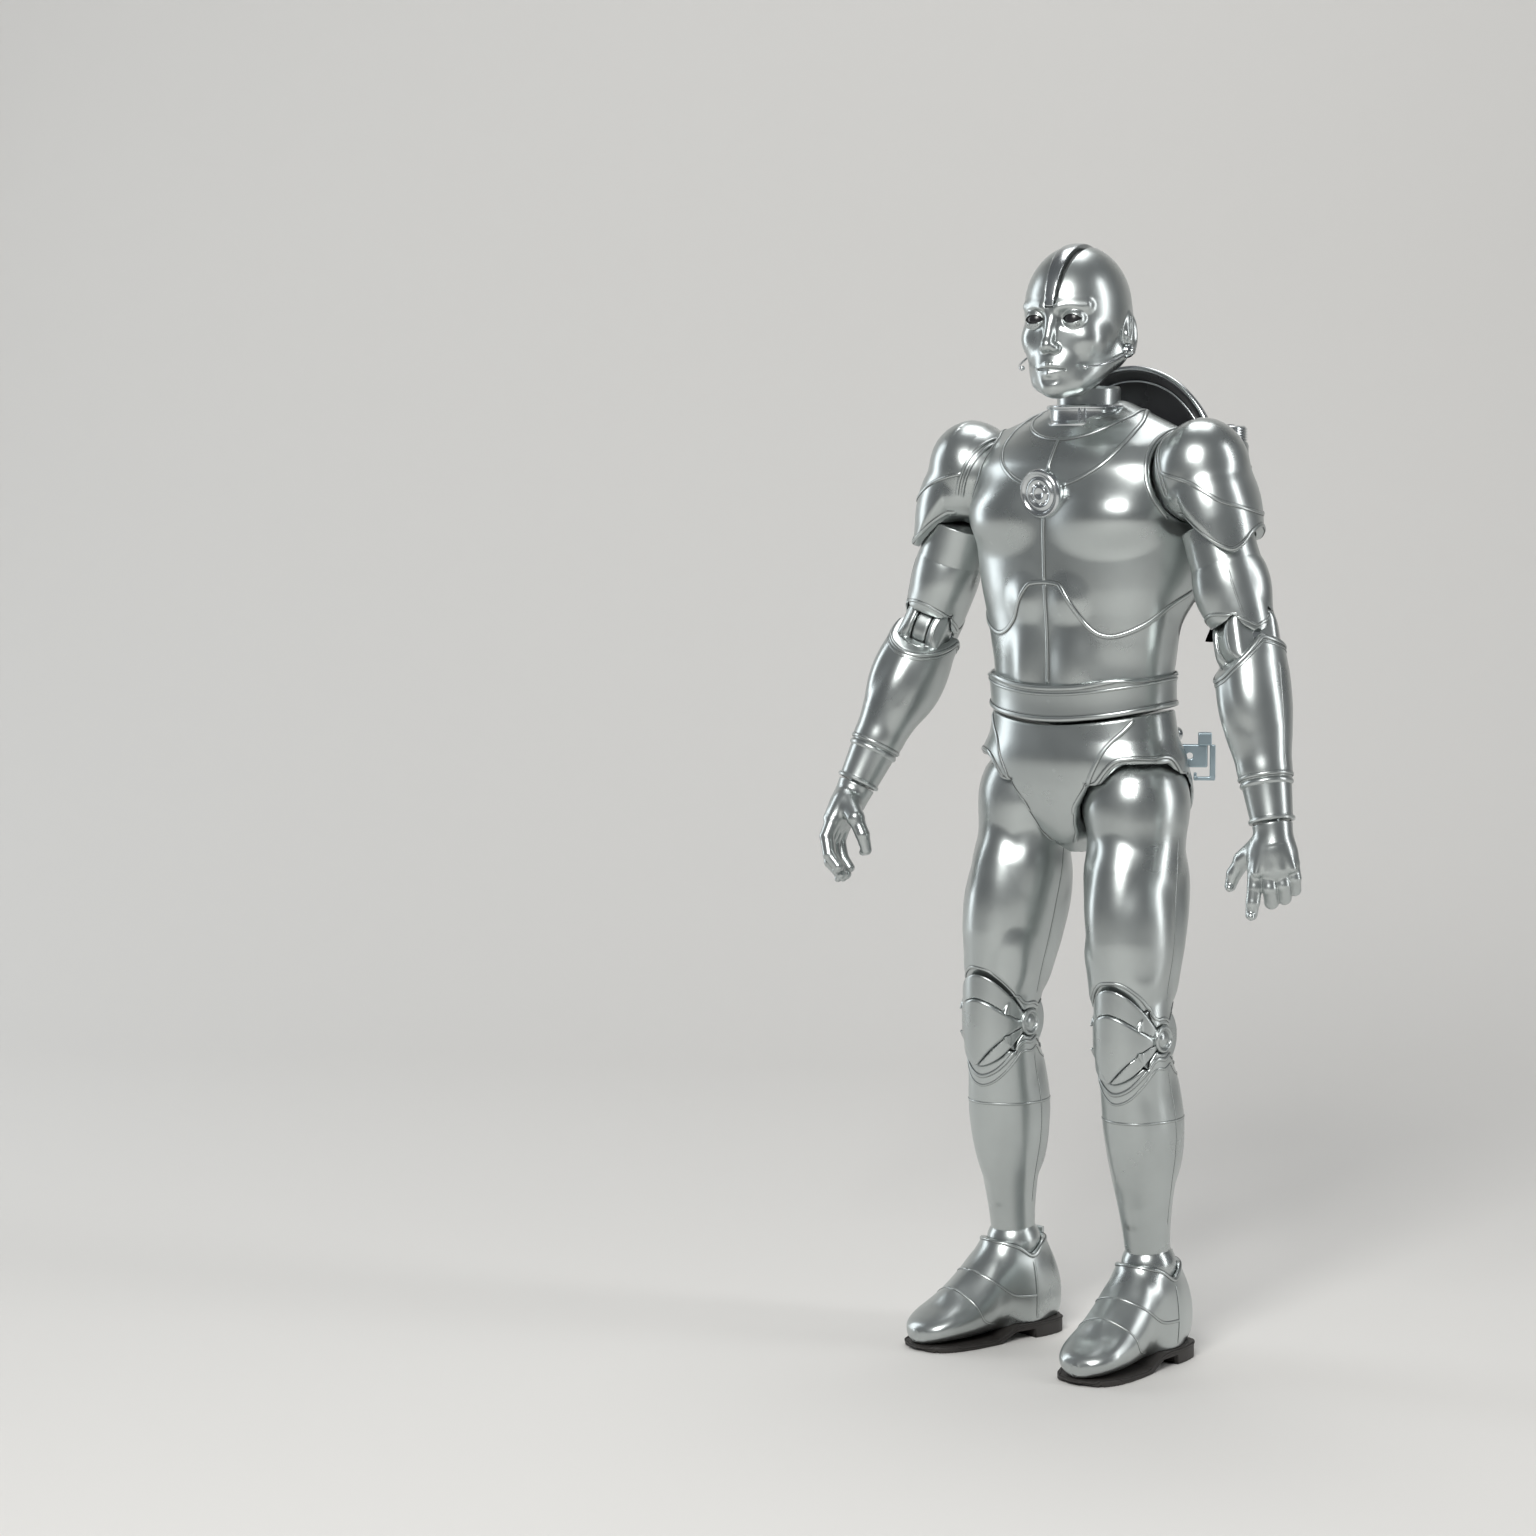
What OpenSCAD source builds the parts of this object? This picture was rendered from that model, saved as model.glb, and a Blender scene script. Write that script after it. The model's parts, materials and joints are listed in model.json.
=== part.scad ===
// Articulated space-suit figure, 1:6 scale, standing free on its soles.
// Millimetres. The figure faces -Y, its left side is +X, +Z is up and the soles lie on z = 0.

/* [Trunk] */
// Height of the waist joint on the middle line
waist_z = 173; // [172:0.5:174]
// Forward dip of the belt line, in degrees
waist_tilt = 4; // [2:1:5]
// Height of the belt band
belt_h = 10; // [9:0.5:11]
// Height of the centre of the neck ball
neck_ball_z = 267; // [266.5:0.5:267.5]
// Radius of the neck column
neck_r = 8.6; // [8.2:0.1:8.8]
// Turn of the head towards the figure's left, in degrees
head_turn = 10; // [0:1:20]

/* [Arms] */
// Distance of a shoulder centre from the middle plane
shoulder_x = 37.5; // [37:0.5:38.5]
// Height of the shoulder centres
shoulder_z = 238; // [237:0.5:239]
// Radius of the shoulder ball
shoulder_r = 13; // [12.6:0.1:13.2]
// Shoulder centre to elbow pin
upper_arm_l = 46; // [45:0.5:47]
// Elbow pin to wrist face
forearm_l = 48; // [46:0.5:49]
// Outward slope of the left and right arm, in degrees
arm_out = [19, 20.5]; // [18:0.5:21]
// Outward turn of the left and right elbow, in degrees
arm_twist = [-30, -14]; // [-40:1:30]
// Bend of the left and right elbow, in degrees
elbow_bend = [8, 23]; // [5:1:26]
// Inward turn of the left and right hand, in degrees
hand_turn = [25, 2]; // [0:1:60]

/* [Legs] */
// Distance of a hip centre from the middle plane
hip_x = 17.5; // [17:0.5:18]
// Height of the hip centres
hip_z = 151; // [150:0.5:152]
// Radius of the ball at the top of a thigh
hip_r = 14.5; // [14:0.1:14.6]
// Distance of a knee pin from the middle plane
knee_x = 22.3; // [21.5:0.1:23]
// Distance of the knee pins in front of the hips
knee_y = 7; // [5:0.5:9]
// Height of the knee pins
knee_z = 89; // [88:0.5:90]
// Distance of an ankle ball from the middle plane
ankle_x = 23; // [22:0.5:24]
// Height of the ankle balls
ankle_z = 26; // [25.5:0.5:26.5]
// Outward turn of the left and right boot, in degrees
toe_out = [3, 12]; // [0:1:15]

/* [Pack] */
// Radius of the pack's round back dish
dish_r = 28; // [26:0.5:29]
// Radius of each tank
tank_r = 6; // [5.5:0.1:6.2]
// Length of each tank
tank_l = 50; // [44:1:52]

/* [Fits] */
// Running clearance on the radius of a ball or pin
run = 0.07; // [0.05:0.01:0.09]
// Gap between skins that pass each other
gap = 0.35; // [0.3:0.05:0.5]

/* [Hidden] */

SILVER = "silver";
DARK = "dimgray";
BLACK = "black";
STEEL = "lightsteelblue";

RING = 28;         // corners of a skin's cross-section
FAR = 120;         // reach of a cutting block
hub_r = 5;         // ball of a shoulder or hip hub
stem_r = 3.2;      // stem of a shoulder or hip hub
neck_y = 1;        // neck axis behind the middle of the trunk
head_y = -3.6;     // middle of the head in front of the trunk
arm_raise = [-4, 31];   // travel of the arm away from its rest slope
leg_raise = [-2, 22];   // travel of the leg away from its rest slope
barrel_r = 7.2;    // elbow knuckle
knee_r = 9;        // knee drum
waist_rise = 0.27; // slope of the waist joint's bowl
sole_z = -ankle_z; // floor, seen from the ankle
thigh_l = sqrt(pow(knee_x - hip_x, 2) + pow(knee_y, 2) + pow(hip_z - knee_z, 2));
shin_l = sqrt(pow(ankle_x - knee_x, 2) + pow(knee_y, 2) + pow(knee_z - ankle_z, 2));
thigh_lean = asin(knee_y / thigh_l);
thigh_out = asin((knee_x - hip_x) / thigh_l);
shin_lean = asin(knee_y / shin_l);
shin_out = asin((ankle_x - knee_x) / shin_l);

// Skins. A section is [height, centre x, centre y, half width, depth to the front, depth to the back, squareness].
TORSO = [
    [166, 0, 0, 26.5, 16.3, 15.2, 2.2], [184, 0, 0, 27.2, 16.6, 15, 2.2], [191, 0, 0, 27.6, 16.6, 14.8, 2.2],
    [199, 0, 0, 29.5, 17.2, 15.6, 2.2], [208, 0, 0, 31.4, 18.2, 17, 2.2], [216, 0, 0, 31.8, 19.4, 18.2, 2.3],
    [224, 0, 0, 32.6, 20.4, 19, 2.4], [232, 0, 0, 33, 20.4, 19.4, 2.4], [239, 0, 0, 33, 18.6, 19, 2.4],
    [244.5, 0, 0, 30, 16, 17.5, 2.2], [248, 0, 0, 23, 13.8, 15.4, 2], [250.6, 0, 0.6, 14, 11.8, 13, 2]
];
PELVIS = [
    [136.5, 0, 0, 3.5, 5.5, 7, 2], [139, 0, 0, 8, 9, 11.5, 2], [144, 0, 0, 17.5, 12.8, 15.6, 2.1],
    [150, 0, 0, 27, 15.6, 18.2, 2.2], [156, 0, 0, 30, 17.4, 19, 2.3], [162, 0, 0, 30, 18, 18.4, 2.3],
    [168, 0, 0, 28.6, 17.4, 17, 2.2], [176, 0, 0, 27.2, 16.8, 15.6, 2.2]
];
HEAD = [
    [258, 0, -16.8, 4.4, 3.6, 6, 2], [260, 0, -14, 8, 7.4, 11.5, 2], [264, 0, -9.6, 11.2, 12.6, 17, 2.1],
    [269, 0, -7.1, 13, 15.6, 17, 2.1], [275, 0, -6.6, 13.9, 16.6, 17.4, 2.1], [282, 0, -6.1, 14.3, 17, 17.4, 2.1],
    [288.5, 0, -5.6, 13.8, 16, 16.6, 2], [294, 0, -5.2, 11.6, 13.2, 13.6, 2], [297.8, 0, -5, 8, 9, 9.2, 2],
    [299.6, 0, -5, 3.2, 3.6, 3.6, 2]
];
SHOULDER = [
    [-24.5, 0, 0, 10.7, 11.4, 11, 2], [-18, 0, 0, 11.8, 12.4, 12, 2], [-11, 0, 0, 12.5, 12.9, 12.6, 2],
    [-4, 0, 0, 12.5, 12.5, 12.5, 2], [2, 0, 0, 12.3, 12.3, 12.3, 2]
];
UPPER_ARM = [
    [-47, 0, 0, 8.8, 8.4, 9.4, 2], [-42, 0, 0, 9.4, 9.2, 9.8, 2], [-36, 0, 0, 10.1, 10.8, 10.2, 2],
    [-30, 0, 0, 10.4, 11.4, 10.5, 2], [-25.2, 0, 0, 10.2, 11, 10.5, 2]
];
FOREARM = [
    [-48, 0, 0, 5.2, 5.2, 5.2, 2], [-37.4, 0, 0, 5.6, 5.6, 5.6, 2], [-37, 0, 0, 6.9, 6.9, 6.9, 2],
    [-31, 0, 0, 7.6, 7.7, 7.6, 2], [-24, 0, 0, 8.9, 9.2, 8.8, 2], [-17, 0, 0, 10, 10.1, 9.8, 2],
    [-10, 0, 0, 10.3, 10.2, 10.2, 2], [-5, 0, 0, 10, 9.8, 10, 2], [0, 0, 0, 9.4, 9.2, 9.6, 2]
];
THIGH = [
    [-thigh_l, 0, 0, 9.5, 10, 10, 2], [-56, 0, 0, 9.9, 10.6, 10.4, 2], [-48, 0, 0, 11.2, 12.6, 11.8, 2],
    [-38, 0, 0, 12.8, 15.2, 14, 2.1], [-28, 0, 0, 13.6, 16.2, 15.4, 2.1], [-20, 0.3, 0, 13.5, 15.4, 15.6, 2.1],
    [-13, 0.9, 0, 12.7, 13.2, 14.2, 2], [-7, 0.8, 0, 11.8, 12.2, 12.4, 2], [-2, 0, 0, 11.5, 11.5, 11.5, 2]
];
SHIN = [
    [-61, 0, 0, 6.2, 6.2, 6.2, 2], [-56, 0, 0, 6.3, 6.3, 6.4, 2], [-48, 0, 0, 7.3, 7.3, 8.2, 2],
    [-40, 0, 0, 9, 8.4, 10.6, 2], [-32, 0, 0, 10.4, 9.2, 13.2, 2], [-24, 0, 0, 10.9, 9.8, 14, 2],
    [-16, 0, 0, 10.4, 10, 12.8, 2], [-8, 0, 0, 9.6, 10, 11, 2], [2, 0, 0, 9.4, 10, 10, 2]
];
BOOT = [
    [-24.2, 0, 0, 8.7, 34.4, 12.2, 2.8], [-20, 0, 0, 9.5, 34.2, 12.5, 2.7], [-16, 0, 0, 9.6, 31, 12.4, 2.6],
    [-12, 0, 0, 9.3, 24.5, 12, 2.4], [-8, 0, 0, 9, 18, 11.4, 2.2], [-4, 0, 0, 8.8, 13, 10.6, 2.1],
    [-1, 0, 0, 8.6, 10.4, 9.8, 2], [1.4, 0, 0, 8.4, 9.4, 9.2, 2]
];

// ---------- helpers ----------
function side_of(pair, s) = s > 0 ? pair[0] : pair[1];
function bow(t, n) = sign(t) * pow(abs(t), 2 / n);
function outline(k, g) = [for (i = [0 : RING - 1]) let (a = 360 * i / RING)
    [k[1] + (k[3] + g) * bow(cos(a), k[6]), k[2] + ((sin(a) < 0 ? k[4] : k[5]) + g) * bow(sin(a), k[6])]];

// A closed skin through level sections, grown outwards by g.
module loft(sections, g = 0) {
    last = len(sections) - 1;
    points = [for (k = sections) for (p = outline(k, g)) [p[0], p[1], k[0]]];
    low = [for (i = [0 : RING - 1]) i];
    high = [for (i = [0 : RING - 1]) last * RING + RING - 1 - i];
    walls = [for (j = [0 : last - 1]) for (i = [0 : RING - 1])
        let (a = j * RING + i, b = j * RING + (i + 1) % RING)
        for (t = [[a, a + RING, b], [b, a + RING, b + RING]]) t];
    polyhedron(points = points, faces = concat([low], walls, [high]), convexity = 4);
}

// A cylinder along X.
module axle(r, l) {
    rotate([0, 90, 0]) cylinder(r = r, h = l, center = true, $fn = 64);
}

module slab(x0, x1, y0, y1, z0, z1) {
    translate([x0, y0, z0]) cube([x1 - x0, y1 - y0, z1 - z0]);
}

// Everything below (up = 1) or above (up = -1) two rays that leave the X axis to the front and to the back.
module wedge(front, back, up) {
    rotate([90, 0, 90]) linear_extrude(height = FAR, center = true) polygon([
        [0, 0], [-FAR * cos(front), up * FAR * sin(front)], [-FAR * 2, up * FAR * sin(front)],
        [-FAR * 2, -up * FAR], [FAR * 2, -up * FAR], [FAR * 2, up * FAR * sin(back)],
        [FAR * cos(back), up * FAR * sin(back)]
    ]);
}

module bodyside(s) {
    if (s > 0) children();
    else mirror([1, 0, 0]) children();
}

// ---------- frames of the left side; bodyside() mirrors them ----------
module at_waist() translate([0, 0, waist_z]) rotate([waist_tilt, 0, 0]) children();

// Inside of the shallow bowl that the chest turns in, raised by z.
module waist_bowl(z) at_waist() translate([0, 0, z - 17 * waist_rise])
    cylinder(r1 = 0.01, r2 = 40 / waist_rise, h = 40, $fn = 128);
module at_head() translate([0, neck_y, 0]) rotate([0, 0, head_turn]) translate([0, -neck_y, 0]) children();
module at_shoulder() translate([shoulder_x, 0, shoulder_z]) children();
module at_arm(s) at_shoulder() rotate([0, -side_of(arm_out, s), 0]) children();
module at_upper_arm(s) at_arm(s) rotate([0, 0, side_of(arm_twist, s)]) children();
module at_elbow(s) at_upper_arm(s) translate([0, 0, -upper_arm_l]) rotate([-side_of(elbow_bend, s), 0, 0]) children();
module at_hand(s) at_elbow(s) translate([0, 0, -forearm_l]) rotate([0, 0, -side_of(hand_turn, s)]) children();
module at_hip() translate([hip_x, 0, hip_z]) children();
module at_thigh() at_hip() rotate([-thigh_lean, 0, 0]) rotate([0, -thigh_out, 0]) children();
module at_knee() translate([knee_x, -knee_y, knee_z]) children();
module at_shin() at_knee() rotate([shin_lean, 0, 0]) rotate([0, -shin_out, 0]) children();
module at_ankle(s) translate([ankle_x, 0, ankle_z]) rotate([0, 0, side_of(toe_out, s)]) children();

// The slot that lets a hub's stem swing inside a ball, from angle a0 to a1 above the inward direction.
module stem_slot(a0, a1, reach) {
    r = stem_r + 0.15;
    rotate([90, 0, 0]) rotate([0, 0, 180 - a1]) rotate_extrude(angle = a1 - a0, $fn = 96)
        translate([2, 0.05 - r]) square([reach - 2, 2 * r - 0.1]);
    for (a = [a0, a1])
        rotate([0, a - 90, 0]) translate([0, 0, 2]) cylinder(r = r, h = reach - 2, $fn = 48);
}

// Room for a limb that turns about the X axis, from angle a0 behind straight down to a1 in front of it.
module swing_room(a0, a1, profile) {
    rotate([0, 90, 0]) rotate([0, 0, -a1]) rotate_extrude(angle = a1 - a0, $fn = 96) polygon(profile);
}

// ---------- pelvis ----------
module pelvis() {
    difference() {
        loft(PELVIS);
        waist_bowl(-gap);
        at_waist() translate([0, 0, -11]) cylinder(r = 6 + run, h = 12, $fn = 64);
        for (s = [1, -1]) bodyside(s) {
            at_hip() sphere(r = hip_r + 0.7, $fn = 96);
            at_hip() axle(stem_r + run, 2 * hip_x);
            // leg opening of the briefs, and the room the thigh swings in
            intersection() {
                translate([1.7, 0, 136]) rotate([0, -53, 0]) slab(0, FAR, -FAR, FAR, -FAR, 0);
                slab(0, FAR, -FAR, FAR, 0, hip_z + 1);
            }
            at_hip() swing_room(-70, 60, [[2, -8], [9, -12], [16, -12], [19, -9], [21, 0], [21, 16], [2, 16]]);
            at_hip() swing_room(50, 84, [[2, -8], [11, -10.6], [16, -9.4], [19, -4], [21, 0], [21, 16], [2, 16]]);
            at_hip() swing_room(80, 108, [[2, -8], [12, -8], [17, -6.5], [21, 0], [21, 16], [2, 16]]);
            translate([20, 30, 168]) rotate([90, 0, 0]) cylinder(r = 1.05, h = 40, $fn = 32);
        }
    }
}

module pelvis_front() color(SILVER) intersection() {
    pelvis();
    slab(-FAR, FAR, -FAR, 0, 0, FAR * 2);
}

module pelvis_back() color(SILVER) difference() {
    intersection() {
        pelvis();
        slab(-FAR, FAR, 0, FAR, 0, FAR * 2);
    }
    for (s = [1, -1]) translate([s * 20, 11.5, 168]) rotate([-90, 0, 0]) cylinder(r = 2.1, h = 10, $fn = 32);
}

module screw(length) {
    rotate([90, 0, 0]) {
        cylinder(r = 1, h = length, $fn = 32);
        translate([0, 0, -1.6]) difference() {
            cylinder(r = 2, h = 1.6, $fn = 32);
            translate([-0.3, -1.6, -0.1]) cube([0.6, 3.2, 0.9]);
            translate([-1.6, -0.3, -0.1]) cube([3.2, 0.6, 0.9]);
        }
    }
}

module pelvis_screws() color(STEEL) for (s = [1, -1]) translate([s * 20, 11.5, 168]) screw(19);

// Holster clip behind the left hip.
module at_clip() translate([24.4, 12.6, 162.5]) rotate([0, 0, 37]) children();
module hip_clip_plate() color(STEEL) difference() {
    at_clip() slab(-6, 5.6, -0.8, 0.8, -2.9, 2.9);
    loft(PELVIS, 0.02);
}
module hip_clip_bolt() color(STEEL) at_clip() difference() {
    union() {
        slab(3.4, 7, -1.9, 1.9, 3, 6);
        slab(4.4, 6, 0.85, 1.9, -2.9, 3);
    }
    translate([5.2, 0, 5.2]) cylinder(r = 0.9, h = 2, $fn = 32);
}
module hip_clip_hook() color(STEEL) at_clip() {
    slab(5.7, 6.9, -0.8, 0.8, -5.6, 2.9);
    slab(7, 8, -0.8, 0.8, -6.6, 2.9);
    slab(2.4, 8, -0.8, 0.8, -6.6, -5.6);
}

// ---------- chest ----------
CHEST_SCREWS = [[17, 228], [14, 188.5]];
module at_medallion() translate([0, -19.3, 232.6]) rotate([98, 0, 0]) children();

module chest() {
    difference() {
        loft(TORSO);
        difference() {
            at_waist() slab(-FAR, FAR, -FAR, FAR, -FAR, 12);
            waist_bowl(0);
        }
        at_waist() translate([0, 0, -6]) cylinder(r = 6.02, h = 14, $fn = 64);
        // hollow between the ribs and the waist
        loft([for (k = TORSO) if (k[0] > 190 && k[0] < 220) [k[0] + 2, 0, 0, k[3] - 3.4, k[4] - 3.2, k[5] - 3.2, k[6]]]);
        translate([0, neck_y, 240]) cylinder(r = 4.02, h = 12, $fn = 64);
        translate([0, neck_y, 249]) cylinder(r = neck_r + 0.02, h = 10, $fn = 64);
        translate([0, neck_y, 250.2]) cylinder(r = 11, h = 10, $fn = 64);
        at_medallion() translate([0, 0, -0.4]) cylinder(r = 6.3, h = 10, $fn = 64);
        for (s = [1, -1]) bodyside(s) {
            at_shoulder() sphere(r = shoulder_r + gap, $fn = 96);
            at_shoulder() axle(stem_r + run, 2 * (shoulder_x - 18));
            translate([17, 0, shoulder_z]) axle(5.6, 6);
            for (p = CHEST_SCREWS) translate([p[0], 30, p[1]]) rotate([90, 0, 0]) cylinder(r = 1.05, h = 40, $fn = 32);
        }
    }
}

module chest_front() color(SILVER) intersection() {
    chest();
    slab(-FAR, FAR, -FAR, 0, 0, FAR * 3);
}

module chest_back() color(SILVER) difference() {
    intersection() {
        chest();
        slab(-FAR, FAR, 0, FAR, 0, FAR * 3);
    }
    for (s = [1, -1], p = CHEST_SCREWS)
        translate([s * p[0], 11, p[1]]) rotate([-90, 0, 0]) cylinder(r = 2.1, h = 10, $fn = 32);
}

module chest_screws() color(STEEL) for (s = [1, -1], p = CHEST_SCREWS) translate([s * p[0], 11, p[1]]) screw(20);

module waist_spigot() color(DARK) at_waist() {
    translate([0, 0, -10.5]) cylinder(r = 6, h = 18, $fn = 64);
}

module belt() color(SILVER) difference() {
    intersection() {
        at_waist() loft([
            [-3, 0, 0, 28.6, 18, 16.9, 2.2], [belt_h / 2, 0, 0, 28.4, 17.8, 16.7, 2.2], [belt_h + 5, 0, 0, 28.7, 18, 16.8, 2.2]
        ]);
        waist_bowl(0);
    }
    waist_bowl(belt_h);
    loft(TORSO, 0.03);
}

module neck_column() color(SILVER) difference() {
    translate([0, neck_y, 0]) union() {
        translate([0, 0, 241]) cylinder(r = 4, h = 9, $fn = 64);
        translate([0, 0, 249]) cylinder(r = neck_r, h = 12, $fn = 64);
    }
    translate([0, neck_y, 251]) cylinder(r = 3 + run, h = 12, $fn = 48);
    translate([0, neck_y, neck_ball_z]) sphere(r = 6 + gap, $fn = 64);
}

module neck_collar() color(STEEL) difference() {
    translate([0, neck_y, 250.25]) rotate_extrude($fn = 96) polygon([
        [neck_r + 0.03, 0], [10.7, 0], [10.9, 0.6], [10.5, 1.1], [10.3, 4.6], [10.6, 5.2], [10.3, 5.8], [neck_r + 0.03, 5.8]
    ]);
    // seam of the clasp
    translate([0, neck_y, 0]) rotate([0, 0, 28]) slab(-0.2, 0.2, -12, -9.9, 250, 257);
}

module chest_medallion() color(STEEL) at_medallion() difference() {
    translate([0, 0, -0.38]) cylinder(r = 6.2, h = 1.9, $fn = 96);
    for (r = [5.1, 3.5, 1.9])
        translate([0, 0, 1.1]) difference() {
            cylinder(r = r, h = 1, $fn = 64);
            translate([0, 0, -0.1]) cylinder(r = r - 0.7, h = 2, $fn = 64);
        }
}

// ---------- pack ----------
PACK_Y = 26.6; // front of the pack's box
tank_x = 19 + tank_r + 0.02;
tank_y = PACK_Y + 2.8;
tank_z = 250.5 - tank_l;

module pack_body() color(BLACK) difference() {
    union() {
        slab(-19, 19, PACK_Y, PACK_Y + 8, 203, 246);
        slab(-12, 12, 17, PACK_Y, 214, 232);
    }
    loft(TORSO, 0.02);
    for (s = [1, -1]) translate([s * 19, PACK_Y + 9, 200]) rotate([0, 0, 45]) slab(-1.6, 1.6, -1.6, 1.6, 0, 60);
}

// Round dark dish behind the shoulders, open to the front.
module at_dish() translate([0, 0, shoulder_z]) rotate([-90, 0, 0]) children();
module pack_dish() color(BLACK) difference() {
    at_dish() rotate_extrude($fn = 96) polygon([
        [12, PACK_Y - 0.05], [12, 24], [20, 23.3], [25, 21.6], [dish_r - 1.2, 19.9],
        [dish_r - 0.1, 19.9], [dish_r - 0.1, 20.6], [26, 22.4], [21, 24.4], [17, PACK_Y - 0.05]
    ]);
    slab(-12.02, 12.02, 0, FAR, 213.98, 232.02);
}
module pack_rim() color(STEEL) at_dish() rotate_extrude($fn = 128) translate([dish_r, 0]) polygon([
    [-0.09, 19.8], [-0.09, 20.61], [-1.09, 21.56], [-0.7, 22.2], [0.1, 22.1], [0.55, 21.6], [0.4, 21], [0.95, 20.7],
    [1.1, 20.2], [0.8, 19.7]
]);

module tanks_at(z) for (s = [1, -1]) translate([s * tank_x, tank_y, z]) children();
module pack_tanks() color(SILVER) tanks_at(tank_z) cylinder(r = tank_r, h = tank_l - 4, $fn = 96);
module tank_caps() color(STEEL) tanks_at(tank_z + tank_l - 4) rotate_extrude($fn = 96) polygon([
    [0, 0], [tank_r - 0.5, 0], [tank_r - 0.5, 1], [tank_r - 1, 1.2], [tank_r - 1, 2], [tank_r - 0.6, 2.2],
    [tank_r - 0.6, 3.6], [tank_r - 1.2, 4], [0, 4]
]);
module tank_nozzles() color(DARK) tanks_at(tank_z - 8) rotate_extrude($fn = 96) polygon([
    [4.4, 0], [5, 0], [4.2, 4], [3.6, 5.5], [5, 8], [0, 8], [0, 6], [2.8, 6], [3, 4]
]);
module pack_bands() color(BLACK) for (z = [211, 236]) difference() {
    tanks_at(z) cylinder(r = tank_r + 0.7, h = 4, $fn = 96);
    tanks_at(z - 1) cylinder(r = tank_r + 0.02, h = 6, $fn = 96);
    slab(-19.02, 19.02, 0, FAR, z - 1, z + 5);
    at_dish() translate([0, 0, 15]) cylinder(r = dish_r + 1.6, h = 10.4, $fn = 96);
}

// ---------- head ----------
module head_solid() {
    difference() {
        at_head() loft(HEAD);
        translate([0, neck_y, neck_ball_z]) sphere(r = 6 + run, $fn = 64);
        translate([0, neck_y, 250]) cylinder(r1 = 12, r2 = 10, h = 13.8, $fn = 64);
        at_head() translate([0, head_y, 283]) crest_arc(0.02);
        at_head() eye_cuts(0.02);
        at_head() for (s = [1, -1]) translate([s * 13.4, 0.5 + head_y, 271.5]) sphere(r = 1.92, $fn = 48);
    }
}

// A strip that follows the crown from the brow backwards.
module crest_arc(g) {
    intersection() {
        rotate([0, 90, 0]) difference() {
            cylinder(r = 25, h = 4.4 + 2 * g, center = true, $fn = 96);
            translate([0, -1.6, 0]) cylinder(r = 15.2 - g, h = 10, center = true, $fn = 96);
        }
        slab(-5, 5, -22, 8, 0.5, 22);
    }
}
module eye_cuts(g) for (s = [1, -1]) translate([s * 5.6, head_y - 12.5, 279.4]) rotate([0, 0, s * 14])
    rotate([90, 0, 0]) scale([1, 1, 1]) cylinder(r = 1.3 + g, h = 10, $fn = 32);

module skull() color(SILVER) intersection() {
    head_solid();
    at_head() slab(-FAR, FAR, head_y - 4, FAR, 240, 320);
}
module face() color(SILVER) intersection() {
    head_solid();
    at_head() slab(-FAR, FAR, -FAR, head_y - 4, 240, 320);
}
module crest() color(STEEL) at_head() intersection() {
    translate([0, head_y, 283]) crest_arc(0);
    loft(HEAD, 0.5);
}
module eye_lenses() color(BLACK) at_head() intersection() {
    eye_cuts(0);
    loft(HEAD, -0.3);
}
module ear_studs() color(STEEL) at_head() for (s = [1, -1]) translate([s * 13.4, 0.5 + head_y, 271.5]) sphere(r = 1.9, $fn = 48);
BOOM = [[14.2, -0.8, 270.8], [13.8, -7, 268.6], [12, -14, 267], [9.2, -17.8, 266.6]];
module mic_boom() color(STEEL) at_head() for (m = [0, 1]) mirror([m, 0, 0]) difference() {
    translate([0, head_y, 0]) for (i = [0 : len(BOOM) - 2]) hull() for (p = [BOOM[i], BOOM[i + 1]])
        translate(p) sphere(r = i == len(BOOM) - 2 ? 0.6 : 0.45, $fn = 12);
    translate([13.4, 0.5 + head_y, 271.5]) sphere(r = 1.92, $fn = 48);
    loft(HEAD, 0.02);
}
module neck_ball() color(DARK) translate([0, neck_y, 0]) difference() {
    union() {
        translate([0, 0, neck_ball_z]) sphere(r = 6, $fn = 64);
        translate([0, 0, 252]) cylinder(r = 3, h = neck_ball_z - 252, $fn = 48);
    }
}

// ---------- arms ----------
module shoulder_hub(s) color(DARK) bodyside(s) {
    at_shoulder() sphere(r = hub_r, $fn = 64);
    translate([18, 0, shoulder_z]) rotate([0, 90, 0]) cylinder(r = stem_r, h = shoulder_x - 18, $fn = 48);
    translate([17, 0, shoulder_z]) axle(5.4, 4);
}

module shoulder_cap(s) color(SILVER) bodyside(s) at_arm(s) {
    out = side_of(arm_out, s);
    difference() {
        union() {
            rotate([90, 0, 0]) sphere(r = shoulder_r, $fn = 96);
            difference() {
                loft(SHOULDER);
                rotate([0, out + arm_raise[0], 0]) slab(-30, -3.9, -30, 30, -40, 20);
            }
        }
        rotate([90, 0, 0]) sphere(r = hub_r + run, $fn = 64);
        stem_slot(out + arm_raise[0], out + arm_raise[1], shoulder_r + 2);
        translate([0, 0, -30]) cylinder(r = 9.4, h = 15.6, $fn = 64);
        translate([0, 0, -20]) cylinder(r = 3.5 + run, h = 12.6, $fn = 48);
    }
}

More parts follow.
